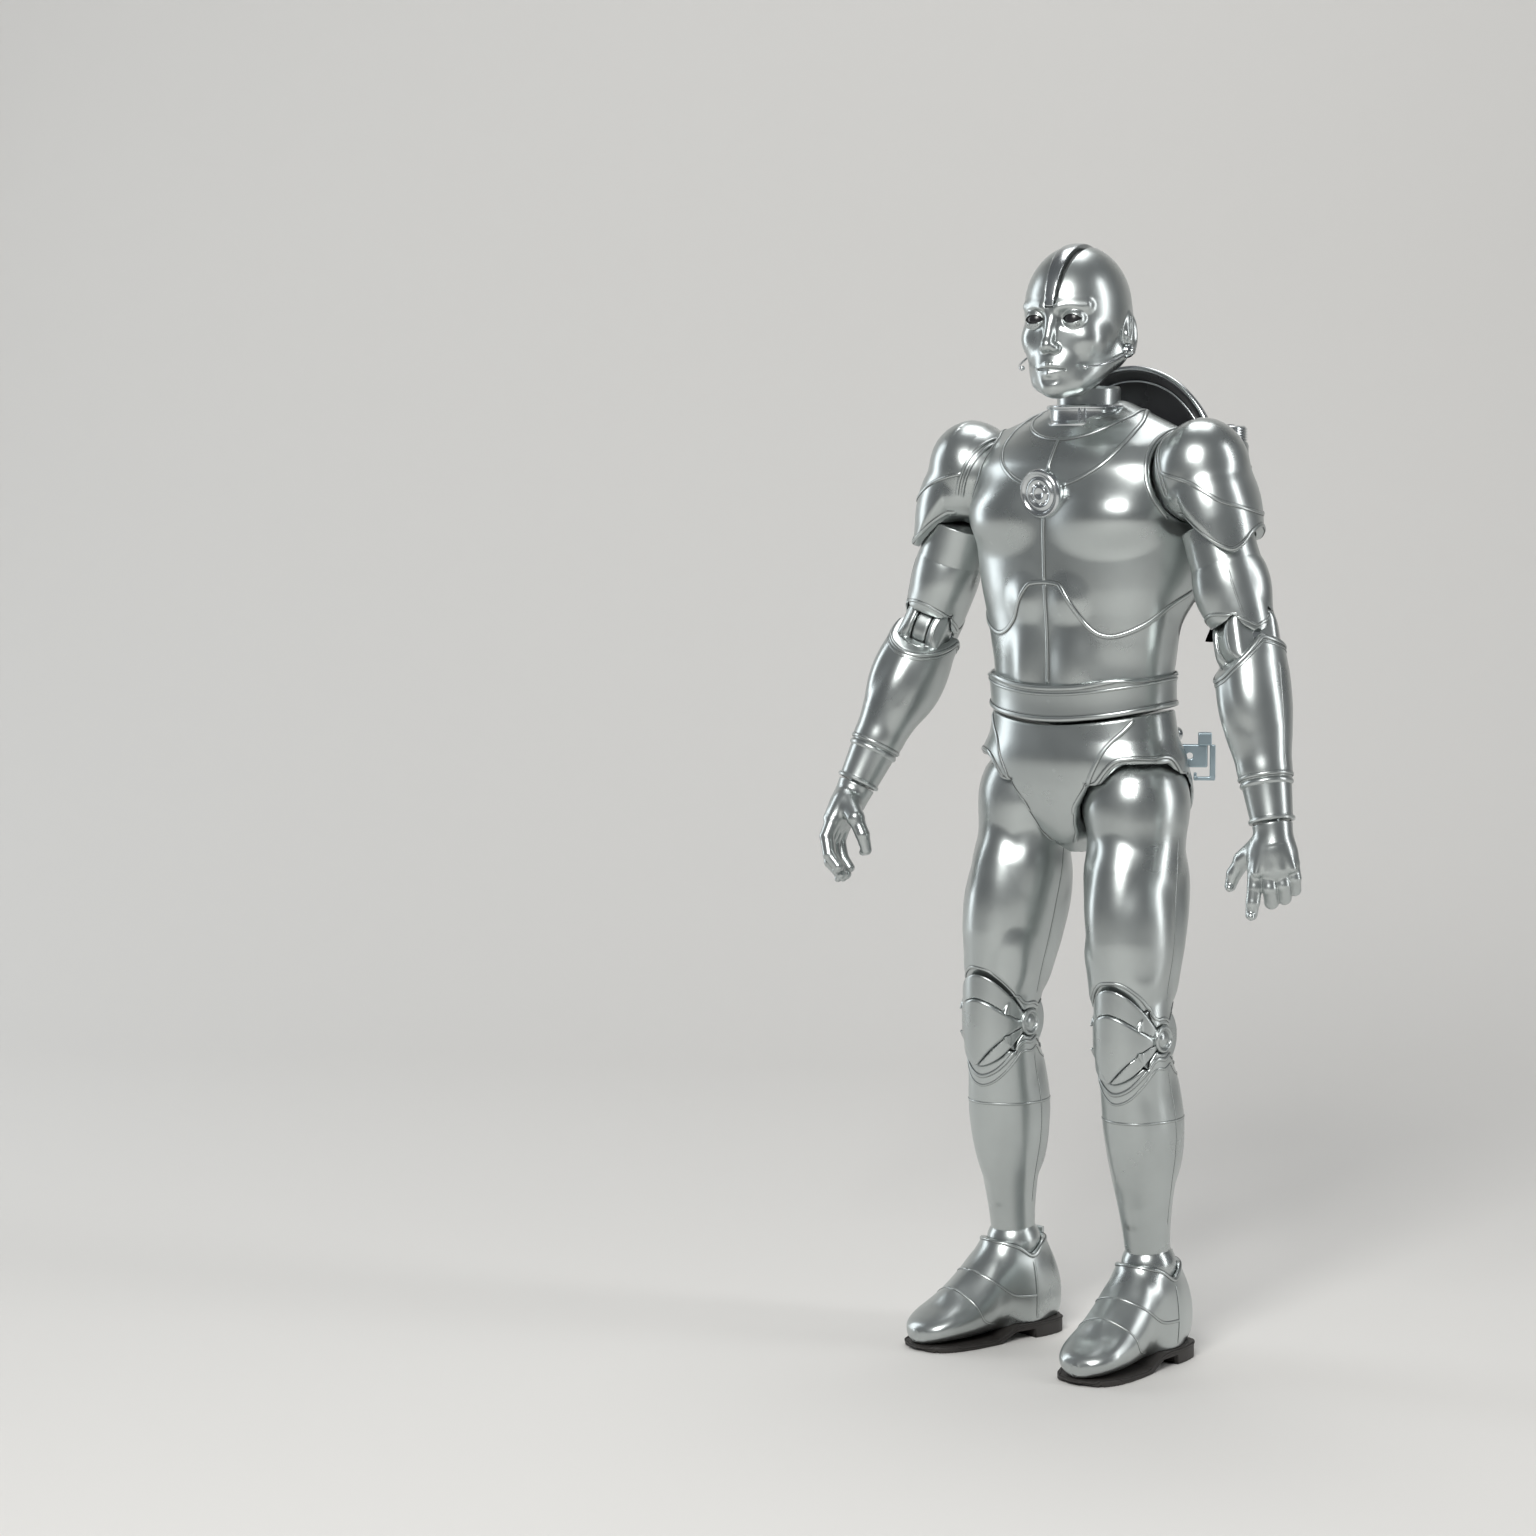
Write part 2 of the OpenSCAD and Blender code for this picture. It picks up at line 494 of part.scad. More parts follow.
module upper_arm(s) color(SILVER) bodyside(s) at_upper_arm(s) {
    difference() {
        union() {
            difference() {
                union() {
                    loft(UPPER_ARM);
                    translate([0, 0, -26]) cylinder(r = 9.3, h = 11.3, $fn = 64);
                    translate([0, 0, -16]) cylinder(r = 3.5, h = 8, $fn = 48);
                }
                translate([0, 0, -upper_arm_l]) {
                    axle(barrel_r + gap, 30);
                    wedge(46, 14, 1);
                }
            }
            translate([0, 0, -upper_arm_l]) {
                axle(5.3, 4.2);
                slab(-2.1, 2.1, -2.6, 4.6, 0, 12);
            }
        }
        translate([0, 0, -upper_arm_l]) axle(1.2 + run, 10);
    }
}

module forearm(s) color(SILVER) bodyside(s) at_elbow(s) difference() {
    loft(FOREARM);
    translate([0, 0, -14]) cylinder(r = barrel_r + 0.05, h = 20, $fn = 64);
    wedge(44, 12, -1);
    translate([0, 0, -forearm_l - 1]) cylinder(r = 2.6 + run, h = 9, $fn = 48);
}

module elbow_knuckle(s) color(SILVER) bodyside(s) at_elbow(s) difference() {
    union() {
        intersection() {
            axle(barrel_r, 13.4);
            translate([0, 0, -14]) cylinder(r = barrel_r, h = 24, $fn = 64);
        }
        translate([0, 0, -13.9]) cylinder(r = barrel_r, h = 7.6, $fn = 64);
    }
    intersection() {
        slab(-2.35, 2.35, -10, 10, -6.1, 12);
        union() {
            axle(5.9, 12);
            slab(-3, 3, -10, 10, -2.4, 12);
        }
    }
    axle(1.2 + 0.01, 20);
}

module elbow_pin(s) color(STEEL) bodyside(s) at_elbow(s) axle(1.2, 12.6);

module cuff(s) color(SILVER) bodyside(s) at_elbow(s) translate([0, 0, -forearm_l]) rotate_extrude($fn = 96) polygon([
    [5.65, 0], [6.1, 0], [6.4, 0.5], [6.1, 1], [6.6, 9.6], [7.2, 10], [7.1, 10.8], [6.9, 10.98], [5.65, 10.6]
]);

module finger(a, b, ra, rb) hull() {
    translate(a) sphere(r = ra, $fn = 16);
    translate(b) sphere(r = rb, $fn = 16);
}

module hand(s) color(SILVER) bodyside(s) at_hand(s) {
    tip = s > 0 ? [-7, -11.4, -17] : [-12.2, -3.6, -17.4];
    ball = s > 0 ? [-4.2, -8.6, -11.2] : [-8.6, -5.6, -9.6];
    translate([0, 0, -1]) cylinder(r = 2.6, h = 8.5, $fn = 48);
    translate([0, 0, -4.6]) cylinder(r1 = 4.4, r2 = 5.3, h = 4.6 - gap, $fn = 48);
    hull() {
        translate([0, 0, -4]) sphere(r = 3.6, $fn = 20);
        translate([0.6, -4.2, -12.4]) sphere(r = 2.9, $fn = 20);
        translate([0.6, 4.6, -12.4]) sphere(r = 2.7, $fn = 20);
    }
    hull() for (y = [-4.8, 4.6]) {
        translate([0.4, y, -12.8]) sphere(r = 2.4, $fn = 16);
        translate([-1.6, y, -20]) sphere(r = 2.1, $fn = 16);
    }
    hull() for (y = [-4.8, 4]) {
        translate([-1.6, y, -20]) sphere(r = 2.1, $fn = 16);
        translate([-5.6, y, -24]) sphere(r = 1.9, $fn = 16);
    }
    finger([-1, -3.6, -6.2], ball, 2.9, 2.4);
    finger(ball, tip, 2.4, 1.9);
}

// ---------- legs ----------
module hip_hub(s) color(DARK) bodyside(s) {
    at_hip() sphere(r = hub_r, $fn = 64);
    translate([0.2, 0, hip_z]) rotate([0, 90, 0]) cylinder(r = stem_r, h = hip_x, $fn = 48);
}

module thigh(s) color(SILVER) bodyside(s) difference() {
    union() {
        difference() {
            union() {
                at_hip() sphere(r = hip_r, $fn = 96);
                at_thigh() loft(THIGH);
            }
            at_knee() axle(knee_r + gap, 40);
            at_knee() wedge(54, 42, 1);
            at_hip() sphere(r = hub_r + run, $fn = 64);
            at_hip() rotate([-thigh_lean, 0, 0]) stem_slot(leg_raise[0], leg_raise[1], hip_r + 4);
        }
        at_knee() {
            axle(6, 4.4);
            slab(-2.2, 2.2, -4.6, 4.6, 0, 15);
        }
    }
    at_knee() axle(1.6 + run, 8);
}

module knee_unit(s) color(SILVER) bodyside(s) at_knee() difference() {
    union() {
        axle(knee_r, 18.2);
        difference() {
            translate([0, 0, 0]) loft([
                [-14, 0, 0, 9.3, 10.4, 9, 2], [-7, 0, 0, 9.5, 10.8, 9, 2], [0, 0, 0, 9.6, 11, 9, 2],
                [7, 0, 0, 9.8, 11.2, 9, 2], [15, 0, 0, 10.2, 11.6, 9, 2]
            ]);
            wedge(-49, -49, 1);
            mirror([0, 0, 1]) wedge(-49, -49, 1);
            slab(-20, 20, 0, 30, -30, 30);
        }
    }
    // room for the tongues of the thigh and the shin
    axle(6.4, 11.8);
    difference() {
        slab(-5.9, 5.9, -20, 20, -20, 20);
        rotate([90, 0, 90]) linear_extrude(height = 30, center = true) polygon([[-5.2, 0], [-5.7, 6], [-30, 27], [-30, -27], [-5.7, -6]]);
    }
    axle(1.62, 40);
    for (x = [1, -1]) translate([x * 9.6, 0, 0]) axle(4.5, 1.4);
    at_plate_cut();
}

// Kneecap plate, let into the front of the knee unit.
module plate_shape(g) intersection() {
    rotate([90, 0, 0]) linear_extrude(height = 30) offset(r = 1.5 + g, $fn = 24) polygon([
        [-3.2, -8.6], [3.2, -8.6], [6, 1], [5, 6.4], [0, 8], [-5, 6.4], [-6, 1]
    ]);
    slab(-20, 20, -20, -9.4 + g, -20, 20);
}
module at_plate_cut() plate_shape(0.03);
module kneecap(s) color(STEEL) bodyside(s) at_knee() intersection() {
    plate_shape(0);
    loft([
        [-12, 0, 0, 8.6, 10.9, 9, 2], [-7, 0, 0, 9.4, 12, 9, 2], [0, 0, 0, 9.8, 12.8, 9, 2],
        [7, 0, 0, 9.6, 12.6, 9, 2], [12, 0, 0, 9, 11.6, 9, 2]
    ]);
}

module knee_pin(s) color(STEEL) bodyside(s) at_knee() {
    axle(1.6, 18);
    for (x = [1, -1]) translate([x * 9.75, 0, 0]) axle(4.45, 1.6);
}

module shin(s) color(SILVER) bodyside(s) difference() {
    union() {
        difference() {
            union() {
                at_shin() loft(SHIN);
                at_ankle(s) sphere(r = 7.5, $fn = 96);
            }
            at_knee() axle(knee_r + gap, 40);
            at_knee() wedge(54, 42, -1);
        }
        at_knee() for (x = [1, -1]) translate([x * 4.05, 0, 0]) {
            axle(6, 2.7);
            slab(-1.35, 1.35, -4.6, 4.6, -15, 0);
        }
    }
    at_knee() axle(1.6 + run, 12);
}

// Side outline of the sole and heel, in the boot's frame.
SOLE_SIDE = [
    [-35.4, -24.3], [-35.2, sole_z + 0.8], [-32.5, sole_z], [-12, sole_z], [-5.5, sole_z + 2.6], [0.5, sole_z + 2.6],
    [0.5, sole_z], [13, sole_z], [13, -21.6], [-5.5, -21.6], [-12, -24.3]
];
module boot(s) color(SILVER) bodyside(s) at_ankle(s) difference() {
    loft(BOOT);
    sphere(r = 7.5 + 0.08, $fn = 96);
    rotate([90, 0, 90]) linear_extrude(height = 60, center = true)
        polygon([[-40, -24.2], [-12, -24.2], [-5.5, -21.5], [20, -21.5], [20, -40], [-40, -40]]);
}
module boot_sole(s) color(BLACK) bodyside(s) at_ankle(s) intersection() {
    rotate([90, 0, 90]) linear_extrude(height = 60, center = true) polygon(SOLE_SIDE);
    translate([0, 0, -30]) linear_extrude(height = 20) polygon(outline(BOOT[0], 0.6));
}

pelvis_front();
pelvis_back();
pelvis_screws();
hip_clip_plate();
hip_clip_bolt();
hip_clip_hook();
chest_front();
chest_back();
chest_screws();
waist_spigot();
belt();
neck_column();
neck_collar();
chest_medallion();
pack_body();
pack_dish();
pack_rim();
pack_tanks();
tank_caps();
tank_nozzles();
pack_bands();
neck_ball();
skull();
face();
crest();
eye_lenses();
ear_studs();
mic_boom();
shoulder_hub(1);  // left_shoulder_hub
shoulder_cap(1);  // left_shoulder_cap
upper_arm(1);  // left_upper_arm
forearm(1);  // left_forearm
elbow_knuckle(1);  // left_elbow_knuckle
elbow_pin(1);  // left_elbow_pin
cuff(1);  // left_cuff
hand(1);  // left_hand
shoulder_hub(-1);  // right_shoulder_hub
shoulder_cap(-1);  // right_shoulder_cap
upper_arm(-1);  // right_upper_arm
forearm(-1);  // right_forearm
elbow_knuckle(-1);  // right_elbow_knuckle
elbow_pin(-1);  // right_elbow_pin
cuff(-1);  // right_cuff
hand(-1);  // right_hand
hip_hub(1);  // left_hip_hub
thigh(1);  // left_thigh
knee_unit(1);  // left_knee_unit
knee_pin(1);  // left_knee_pin
kneecap(1);  // left_kneecap
shin(1);  // left_shin
boot(1);  // left_boot
boot_sole(1);  // left_boot_sole
hip_hub(-1);  // right_hip_hub
thigh(-1);  // right_thigh
knee_unit(-1);  // right_knee_unit
knee_pin(-1);  // right_knee_pin
kneecap(-1);  // right_kneecap
shin(-1);  // right_shin
boot(-1);  // right_boot
boot_sole(-1);  // right_boot_sole
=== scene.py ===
"""Looks of the jointed space-suit figure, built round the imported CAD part. Lengths below are in millimetres."""

import json
import math
import bpy
import numpy as np
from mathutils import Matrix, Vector


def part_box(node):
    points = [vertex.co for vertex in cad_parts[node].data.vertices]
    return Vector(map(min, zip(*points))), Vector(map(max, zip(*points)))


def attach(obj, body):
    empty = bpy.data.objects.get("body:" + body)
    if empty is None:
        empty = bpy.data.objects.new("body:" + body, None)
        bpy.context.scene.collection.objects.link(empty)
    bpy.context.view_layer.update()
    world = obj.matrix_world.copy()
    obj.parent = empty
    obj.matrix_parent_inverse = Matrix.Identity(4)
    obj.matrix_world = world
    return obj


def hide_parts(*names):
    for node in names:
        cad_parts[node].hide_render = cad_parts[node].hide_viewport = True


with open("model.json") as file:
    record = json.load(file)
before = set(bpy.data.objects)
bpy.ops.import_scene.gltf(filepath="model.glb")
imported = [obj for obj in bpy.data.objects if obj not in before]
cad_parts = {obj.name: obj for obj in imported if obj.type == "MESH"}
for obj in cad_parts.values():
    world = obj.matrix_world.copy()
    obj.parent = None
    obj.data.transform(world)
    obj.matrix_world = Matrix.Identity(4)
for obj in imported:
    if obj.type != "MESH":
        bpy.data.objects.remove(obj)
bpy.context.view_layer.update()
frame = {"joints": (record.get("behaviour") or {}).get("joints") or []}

FINE = 1.0   # coarser skins while trying things
JOINTS = {j["name"]: j for j in frame["joints"]}

# ------------------------------------------------------------------ frames


def rot(axis, deg):
    c, s = math.cos(math.radians(deg)), math.sin(math.radians(deg))
    if axis == "x":
        return np.array([[1, 0, 0], [0, c, -s], [0, s, c]])
    if axis == "y":
        return np.array([[c, 0, s], [0, 1, 0], [-s, 0, c]])
    return np.array([[c, -s, 0], [s, c, 0], [0, 0, 1.0]])


def unit(v):
    v = np.asarray(v, float)
    return v / np.linalg.norm(v)


def around(n):
    """n even angles round a full turn."""
    return np.linspace(0, 2 * math.pi, n, endpoint=False)


class Place:
    """A local frame: rotation and origin, and the side it is mirrored to."""

    def __init__(self, R=np.eye(3), o=(0, 0, 0), side=1):
        self.R, self.o, self.side = np.asarray(R, float), np.asarray(o, float), side

    def out(self, p):
        w = np.asarray(p, float) @ self.R.T + self.o
        return w * np.array([self.side, 1, 1])

    def into(self, w):
        return (np.asarray(w, float) * np.array([self.side, 1, 1]) - self.o) @ self.R


def joint(name, side=1):
    """A joint's place and axis as the left side would have them; side 0 is the middle."""
    j = JOINTS[("left_" if side > 0 else "right_") + name] if side else JOINTS[name]
    p, a = np.array(j["pos_m"]) * 1000, np.array(j["axis"], float)
    if side < 0:
        p, a = p * [-1, 1, 1], a * [1, -1, -1]
    return p, unit(a)


def along(z, x_hint, o, side):
    """A frame with Z along z and X as near x_hint as it can be."""
    z = unit(z)
    x = unit(np.asarray(x_hint, float) - np.dot(x_hint, z) * z)
    return Place(np.column_stack([x, np.cross(z, x), z]), o, side)


WORLD = Place()
waist_p, waist_a = joint("waist_turn", 0)
WAIST = along(waist_a, (1, 0, 0), waist_p, 1)
nod_p, nod_a = joint("head_nod", 0)
SET = -3.6   # middle of the head in front of the neck
DROP = -1.3  # and its zero below the neck ball's centre
R = np.column_stack([nod_a, np.cross((0, 0, 1), nod_a), (0, 0, 1)])
HEAD = Place(R, nod_p + R @ [0, SET, DROP])
NECK_Y = nod_p[1]


def bowl(w):
    """Height of the shallow bowl that the chest turns in, in the waist's frame."""
    return 0.27 * (np.hypot(w[..., 0], w[..., 1]) - 17)


# ------------------------------------------------------------------ fields: negative inside, about a distance in mm


def smin(a, b, k):
    h = np.clip(0.5 + 0.5 * (b - a) / k, 0, 1)
    return b * (1 - h) + a * h - k * h * (1 - h)


def smax(a, b, k):
    return -smin(-a, -b, k)


def slopes(x, y):
    """Gentle slopes for a smooth curve through rows, without overshoot."""
    d = np.diff(y, axis=0) / np.diff(x)[:, None]
    m = np.zeros_like(y)
    a, b = d[:-1], d[1:]
    w0, w1 = (2 * np.diff(x)[1:] + np.diff(x)[:-1])[:, None], (np.diff(x)[1:] + 2 * np.diff(x)[:-1])[:, None]
    same = a * b > 0
    m[1:-1][same] = ((w0 + w1) / (w0 / np.where(same, a, 1) + w1 / np.where(same, b, 1)))[same]
    m[0], m[-1] = d[0], d[-1]
    return m


def curve_table(rows, n=400):
    rows = np.array(sorted(rows), float)
    x, y = rows[:, 0], rows[:, 1:]
    m = slopes(x, y)
    t = np.linspace(x[0], x[-1], n)
    i = np.clip(np.searchsorted(x, t, "right") - 1, 0, len(x) - 2)
    h = (x[i + 1] - x[i])[:, None]
    u = ((t - x[i]) / (x[i + 1] - x[i]))[:, None]
    out = (y[i] * (2 * u**3 - 3 * u**2 + 1) + y[i + 1] * (3 * u**2 - 2 * u**3)
           + h * m[i] * (u**3 - 2 * u**2 + u) + h * m[i + 1] * (u**3 - u**2))
    return t, out


class Loft:
    """Rounded sections along Z: [z, centre x, centre y, half width, depth to -Y, depth to +Y, squareness]."""

    def __init__(self, rows, axis=2):
        self.t, self.v = curve_table(rows)
        self.axis = axis

    def __call__(self, p, grow=0.0):
        a = self.axis
        z = p[:, a]
        q = [np.interp(z, self.t, self.v[:, i]) for i in range(6)]
        dx, dy = p[:, 0] - q[0], p[:, 3 - a] - q[1]
        front = dy < 0
        ry = np.where(front, q[3], q[4])
        n = q[5]
        rho = ((np.abs(dx) / q[2]) ** n + (np.abs(dy) / ry) ** n) ** (1 / n)
        r = np.hypot(dx, dy)
        d = r - r / np.maximum(rho, 1e-6)
        d = np.where(rho < 1e-6, -np.minimum(q[2], ry), d)
        end = np.maximum(z - self.t[-1], self.t[0] - z)
        return np.where(end > 0, np.hypot(np.maximum(d, 0), end), d) - grow


def ball(p, c, r):
    return np.linalg.norm(p - np.asarray(c, float), axis=1) - r


def egg(p, c, r, R=None):
    q = p - np.asarray(c, float)
    if R is not None:
        q = q @ R
    r = np.asarray(r, float)
    k0 = np.linalg.norm(q / r, axis=1)
    k1 = np.linalg.norm(q / (r * r), axis=1)
    return k0 * (k0 - 1) / np.maximum(k1, 1e-9)


def with_eggs(f, p, *eggs):
    """f with eggs melted into it, each given by its centre, radii and softness."""
    for c, r, k in eggs:
        f = smin(f, egg(p, c, r), k)
    return f


def stick(p, a, b, ra, rb):
    """A bar with round ends that tapers from ra to rb."""
    a, b = np.asarray(a, float), np.asarray(b, float)
    ab = b - a
    t = np.clip((p - a) @ ab / (ab @ ab), 0, 1)
    return np.linalg.norm(p - (a + t[:, None] * ab), axis=1) - (ra + (rb - ra) * t)


def block(p, c, half, r):
    q = np.abs(p - np.asarray(c, float)) - (np.asarray(half, float) - r)
    return np.linalg.norm(np.maximum(q, 0), axis=1) + np.minimum(q.max(axis=1), 0) - r


def drum(p, c, axis, r, half, edge=0.4):
    """A round bar with softened rims; axis is 0, 1 or 2."""
    q = p - np.asarray(c, float)
    o = [i for i in range(3) if i != axis]
    return smax(np.hypot(q[:, o[0]], q[:, o[1]]) - r, np.abs(q[:, axis]) - half, edge)


def from_x(p):
    """Distance from the X axis."""
    return np.hypot(p[:, 1], p[:, 2])


def from_z(p):
    """Distance from the Z axis."""
    return np.hypot(p[:, 0], p[:, 1])


def above_v(p, front, back):
    """Positive above two rays from the X axis: front degrees up to -Y and back degrees up to +Y."""
    f, b = math.radians(front), math.radians(back)
    df = p[:, 1] * math.sin(f) + p[:, 2] * math.cos(f)
    db = -p[:, 1] * math.sin(b) + p[:, 2] * math.cos(b)
    return np.minimum(df, db)


def roof(p, front, back):
    """Positive above two rays that fall from the X axis, to the front and to the back."""
    f, b = math.radians(front), math.radians(back)
    return np.maximum(-p[:, 1] * math.sin(f) + p[:, 2] * math.cos(f), p[:, 1] * math.sin(b) + p[:, 2] * math.cos(b))


# ------------------------------------------------------------------ skins from fields


def skin(f, low, high, h):
    """Vertices, quads and normals of f = 0, with cells of size h."""
    h = h * FINE
    low = np.asarray(low, float) - 1.6 * h
    nb = np.ceil((np.asarray(high, float) + 1.6 * h - low) / (4 * h)).astype(int)
    dim = nb * 4
    bi = np.stack(np.meshgrid(*[np.arange(k) for k in nb], indexing="ij"), -1).reshape(-1, 3)
    fc = f(low + (bi * 4 + 1.5) * h)
    G = np.empty(tuple(dim), np.float32)
    G[:] = np.repeat(np.repeat(np.repeat(np.sign(fc).reshape(nb) * 99, 4, 0), 4, 1), 4, 2)
    near = bi[np.abs(fc) < 6.2 * h]
    off = np.stack(np.meshgrid(*[np.arange(4)] * 3, indexing="ij"), -1).reshape(-1, 3)
    for s in range(0, len(near), 12000):
        idx = (near[s:s + 12000, None, :] * 4 + off[None]).reshape(-1, 3)
        G[idx[:, 0], idx[:, 1], idx[:, 2]] = f(low + idx * h)
    S = G < 0
    cells, pos, quads = [], [], []
    cd = dim - 1
    for a in range(3):
        b, c = (a + 1) % 3, (a + 2) % 3
        s0 = [slice(None)] * 3
        s1 = [slice(None)] * 3
        s0[a], s1[a] = slice(0, -1), slice(1, None)
        e = np.argwhere(S[tuple(s0)] != S[tuple(s1)])
        e1 = e.copy()
        e1[:, a] += 1
        g0, g1 = G[tuple(e.T)].astype(float), G[tuple(e1.T)].astype(float)
        p = e.astype(float)
        p[:, a] += g0 / (g0 - g1)
        ids = []
        for db, dc in ((0, 0), (-1, 0), (-1, -1), (0, -1)):
            k = e.copy()
            k[:, b] += db
            k[:, c] += dc
            ids.append((k[:, 0] * cd[1] + k[:, 1]) * cd[2] + k[:, 2])
            cells.append(ids[-1])
            pos.append(p)
        q = np.stack(ids, 1)
        q[g0 > 0] = q[g0 > 0][:, ::-1]
        quads.append(q)
    cells, pos, quads = np.concatenate(cells), np.concatenate(pos), np.concatenate(quads)
    u, inv = np.unique(cells, return_inverse=True)
    cnt = np.bincount(inv)
    v = np.stack([np.bincount(inv, pos[:, i]) / cnt for i in range(3)], 1)
    v = low + v * h
    quads = np.searchsorted(u, quads)
    for _ in range(3):
        d, n, g = field_normal(f, v)
        step = np.clip(d / g, -0.5 * h, 0.5 * h)
        v = v - n * step[:, None]
    d, n, g = field_normal(f, v)
    return v, quads, n


def field_normal(f, p, e=0.05):
    d = f(p)
    g = np.stack([f(p + np.eye(3)[i] * e) - d for i in range(3)], 1) / e
    m = np.maximum(np.linalg.norm(g, axis=1), 1e-4)
    return d, g / m[:, None], m


def settle(f, p, times=6):
    """Moves points onto f = 0 and gives the outward normal there."""
    for _ in range(times):
        d, n, g = field_normal(f, p)
        p = p - n * np.clip(d / g, -1.5, 1.5)[:, None]
    return p, field_normal(f, p)[1]


# ------------------------------------------------------------------ meshes

COLL = bpy.context.scene.collection


class Build:
    """Gathers vertices, faces, normals and a painted shadow value for one piece."""

    def __init__(self, place=WORLD):
        self.place, self.v, self.f, self.n, self.w, self.k = place, [], [], [], [], 0

    def add(self, v, faces, n=None, painted_shadow_and_edge_light=0.0):
        v = np.asarray(v, float)
        if n is None:
            n = flat_normals(v, faces)
        self.v.append(v)
        self.n.append(np.asarray(n, float))
        # the per-vertex value given last is the painted shadow of each vertex
        self.w.append(np.broadcast_to(np.asarray(painted_shadow_and_edge_light, float), (len(v),)))
        self.f.append([tuple(int(i) + self.k for i in q) for q in faces])
        self.k += len(v)
        return self

    def skin(self, f, low, high, h):
        return self.add(*skin(f, low, high, h))

    def lathe(self, profile, turns=96, R=np.eye(3), o=(0, 0, 0), **kw):
        v, q, n = lathe(profile, turns, **kw)
        return self.add(v @ R.T + o, q, n @ R.T)

    def bead(self, f, points, **kw):
        return self.add(*bead(f, points, **kw))

    def bead_pair(self, f, points, **kw):
        """The same raised line on both sides of the middle plane."""
        for m in (1, -1):
            self.bead(f, [(m * x, y, z) for x, y, z in points], **kw)

    def make(self, name, body, node, mat, slot=None, side=""):
        """Ends the piece: it rides body and stands in for the CAD node or nodes; the finish's slot is looked up but
        not kept.
        """
        v = self.place.out(np.concatenate(self.v)) * 0.001
        n = np.concatenate(self.n) @ self.place.R.T * [self.place.side, 1, 1]
        faces = [q for part in self.f for q in part]
        if self.place.side < 0:
            faces = [q[::-1] for q in faces]
        me = bpy.data.meshes.new(side + name)
        me.from_pydata(v.tolist(), [], faces)
        me.polygons.foreach_set("use_smooth", [True] * len(me.polygons))
        # per-vertex painted shadow, by which the finish darkens the colour
        att = me.attributes.new("painted_shadow", "FLOAT", "POINT")
        att.data.foreach_set("value", np.concatenate(self.w).astype(np.float32))
        me.update()
        me.normals_split_custom_set_from_vertices(n.tolist())
        ob = bpy.data.objects.new(side + name, me)
        COLL.objects.link(ob)
        me.materials.append(mat)
        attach(ob, side + body)
        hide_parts(*([side + node] if isinstance(node, str) else node))
        slot or SLOTS[mat.name]


def flat_normals(v, faces):
    n = np.zeros_like(v)
    for q in faces:
        q = list(q)
        a = v[q]
        m = np.cross(a[1] - a[0], a[2] - a[0])
        if len(q) > 3:
            m = m + np.cross(a[2] - a[0], a[3] - a[0])
        n[q] += m
    return n / np.maximum(np.linalg.norm(n, axis=1), 1e-12)[:, None]


def spline(points, step=0.4, closed=False):
    """Evenly spaced points on a smooth curve through the given ones."""
    p = np.asarray(points, float)
    ext = np.vstack([p[-1], p, p[0], p[1]]) if closed else np.vstack([2 * p[0] - p[1], p, 2 * p[-1] - p[-2]])
    out = []
    for i in range(1, len(ext) - 2):
        a, b, c, d = ext[i - 1:i + 3]
        t = np.linspace(0, 1, 24, endpoint=False)[:, None]
        out.append(0.5 * (2 * b + (c - a) * t + (2 * a - 5 * b + 4 * c - d) * t**2 + (3 * b - a - 3 * c + d) * t**3))
    if not closed:
        out.append(ext[-2][None])
    out = np.concatenate(out + ([out[0][:1]] if closed else []))
    s = np.concatenate([[0], np.cumsum(np.linalg.norm(np.diff(out, axis=0), axis=1))])
    k = max(int(round(s[-1] / (step * FINE))), 3)
    t = np.linspace(0, s[-1], k + 1)
    out = np.stack([np.interp(t, s, out[:, i]) for i in range(3)], 1)
    return out[:-1] if closed else out


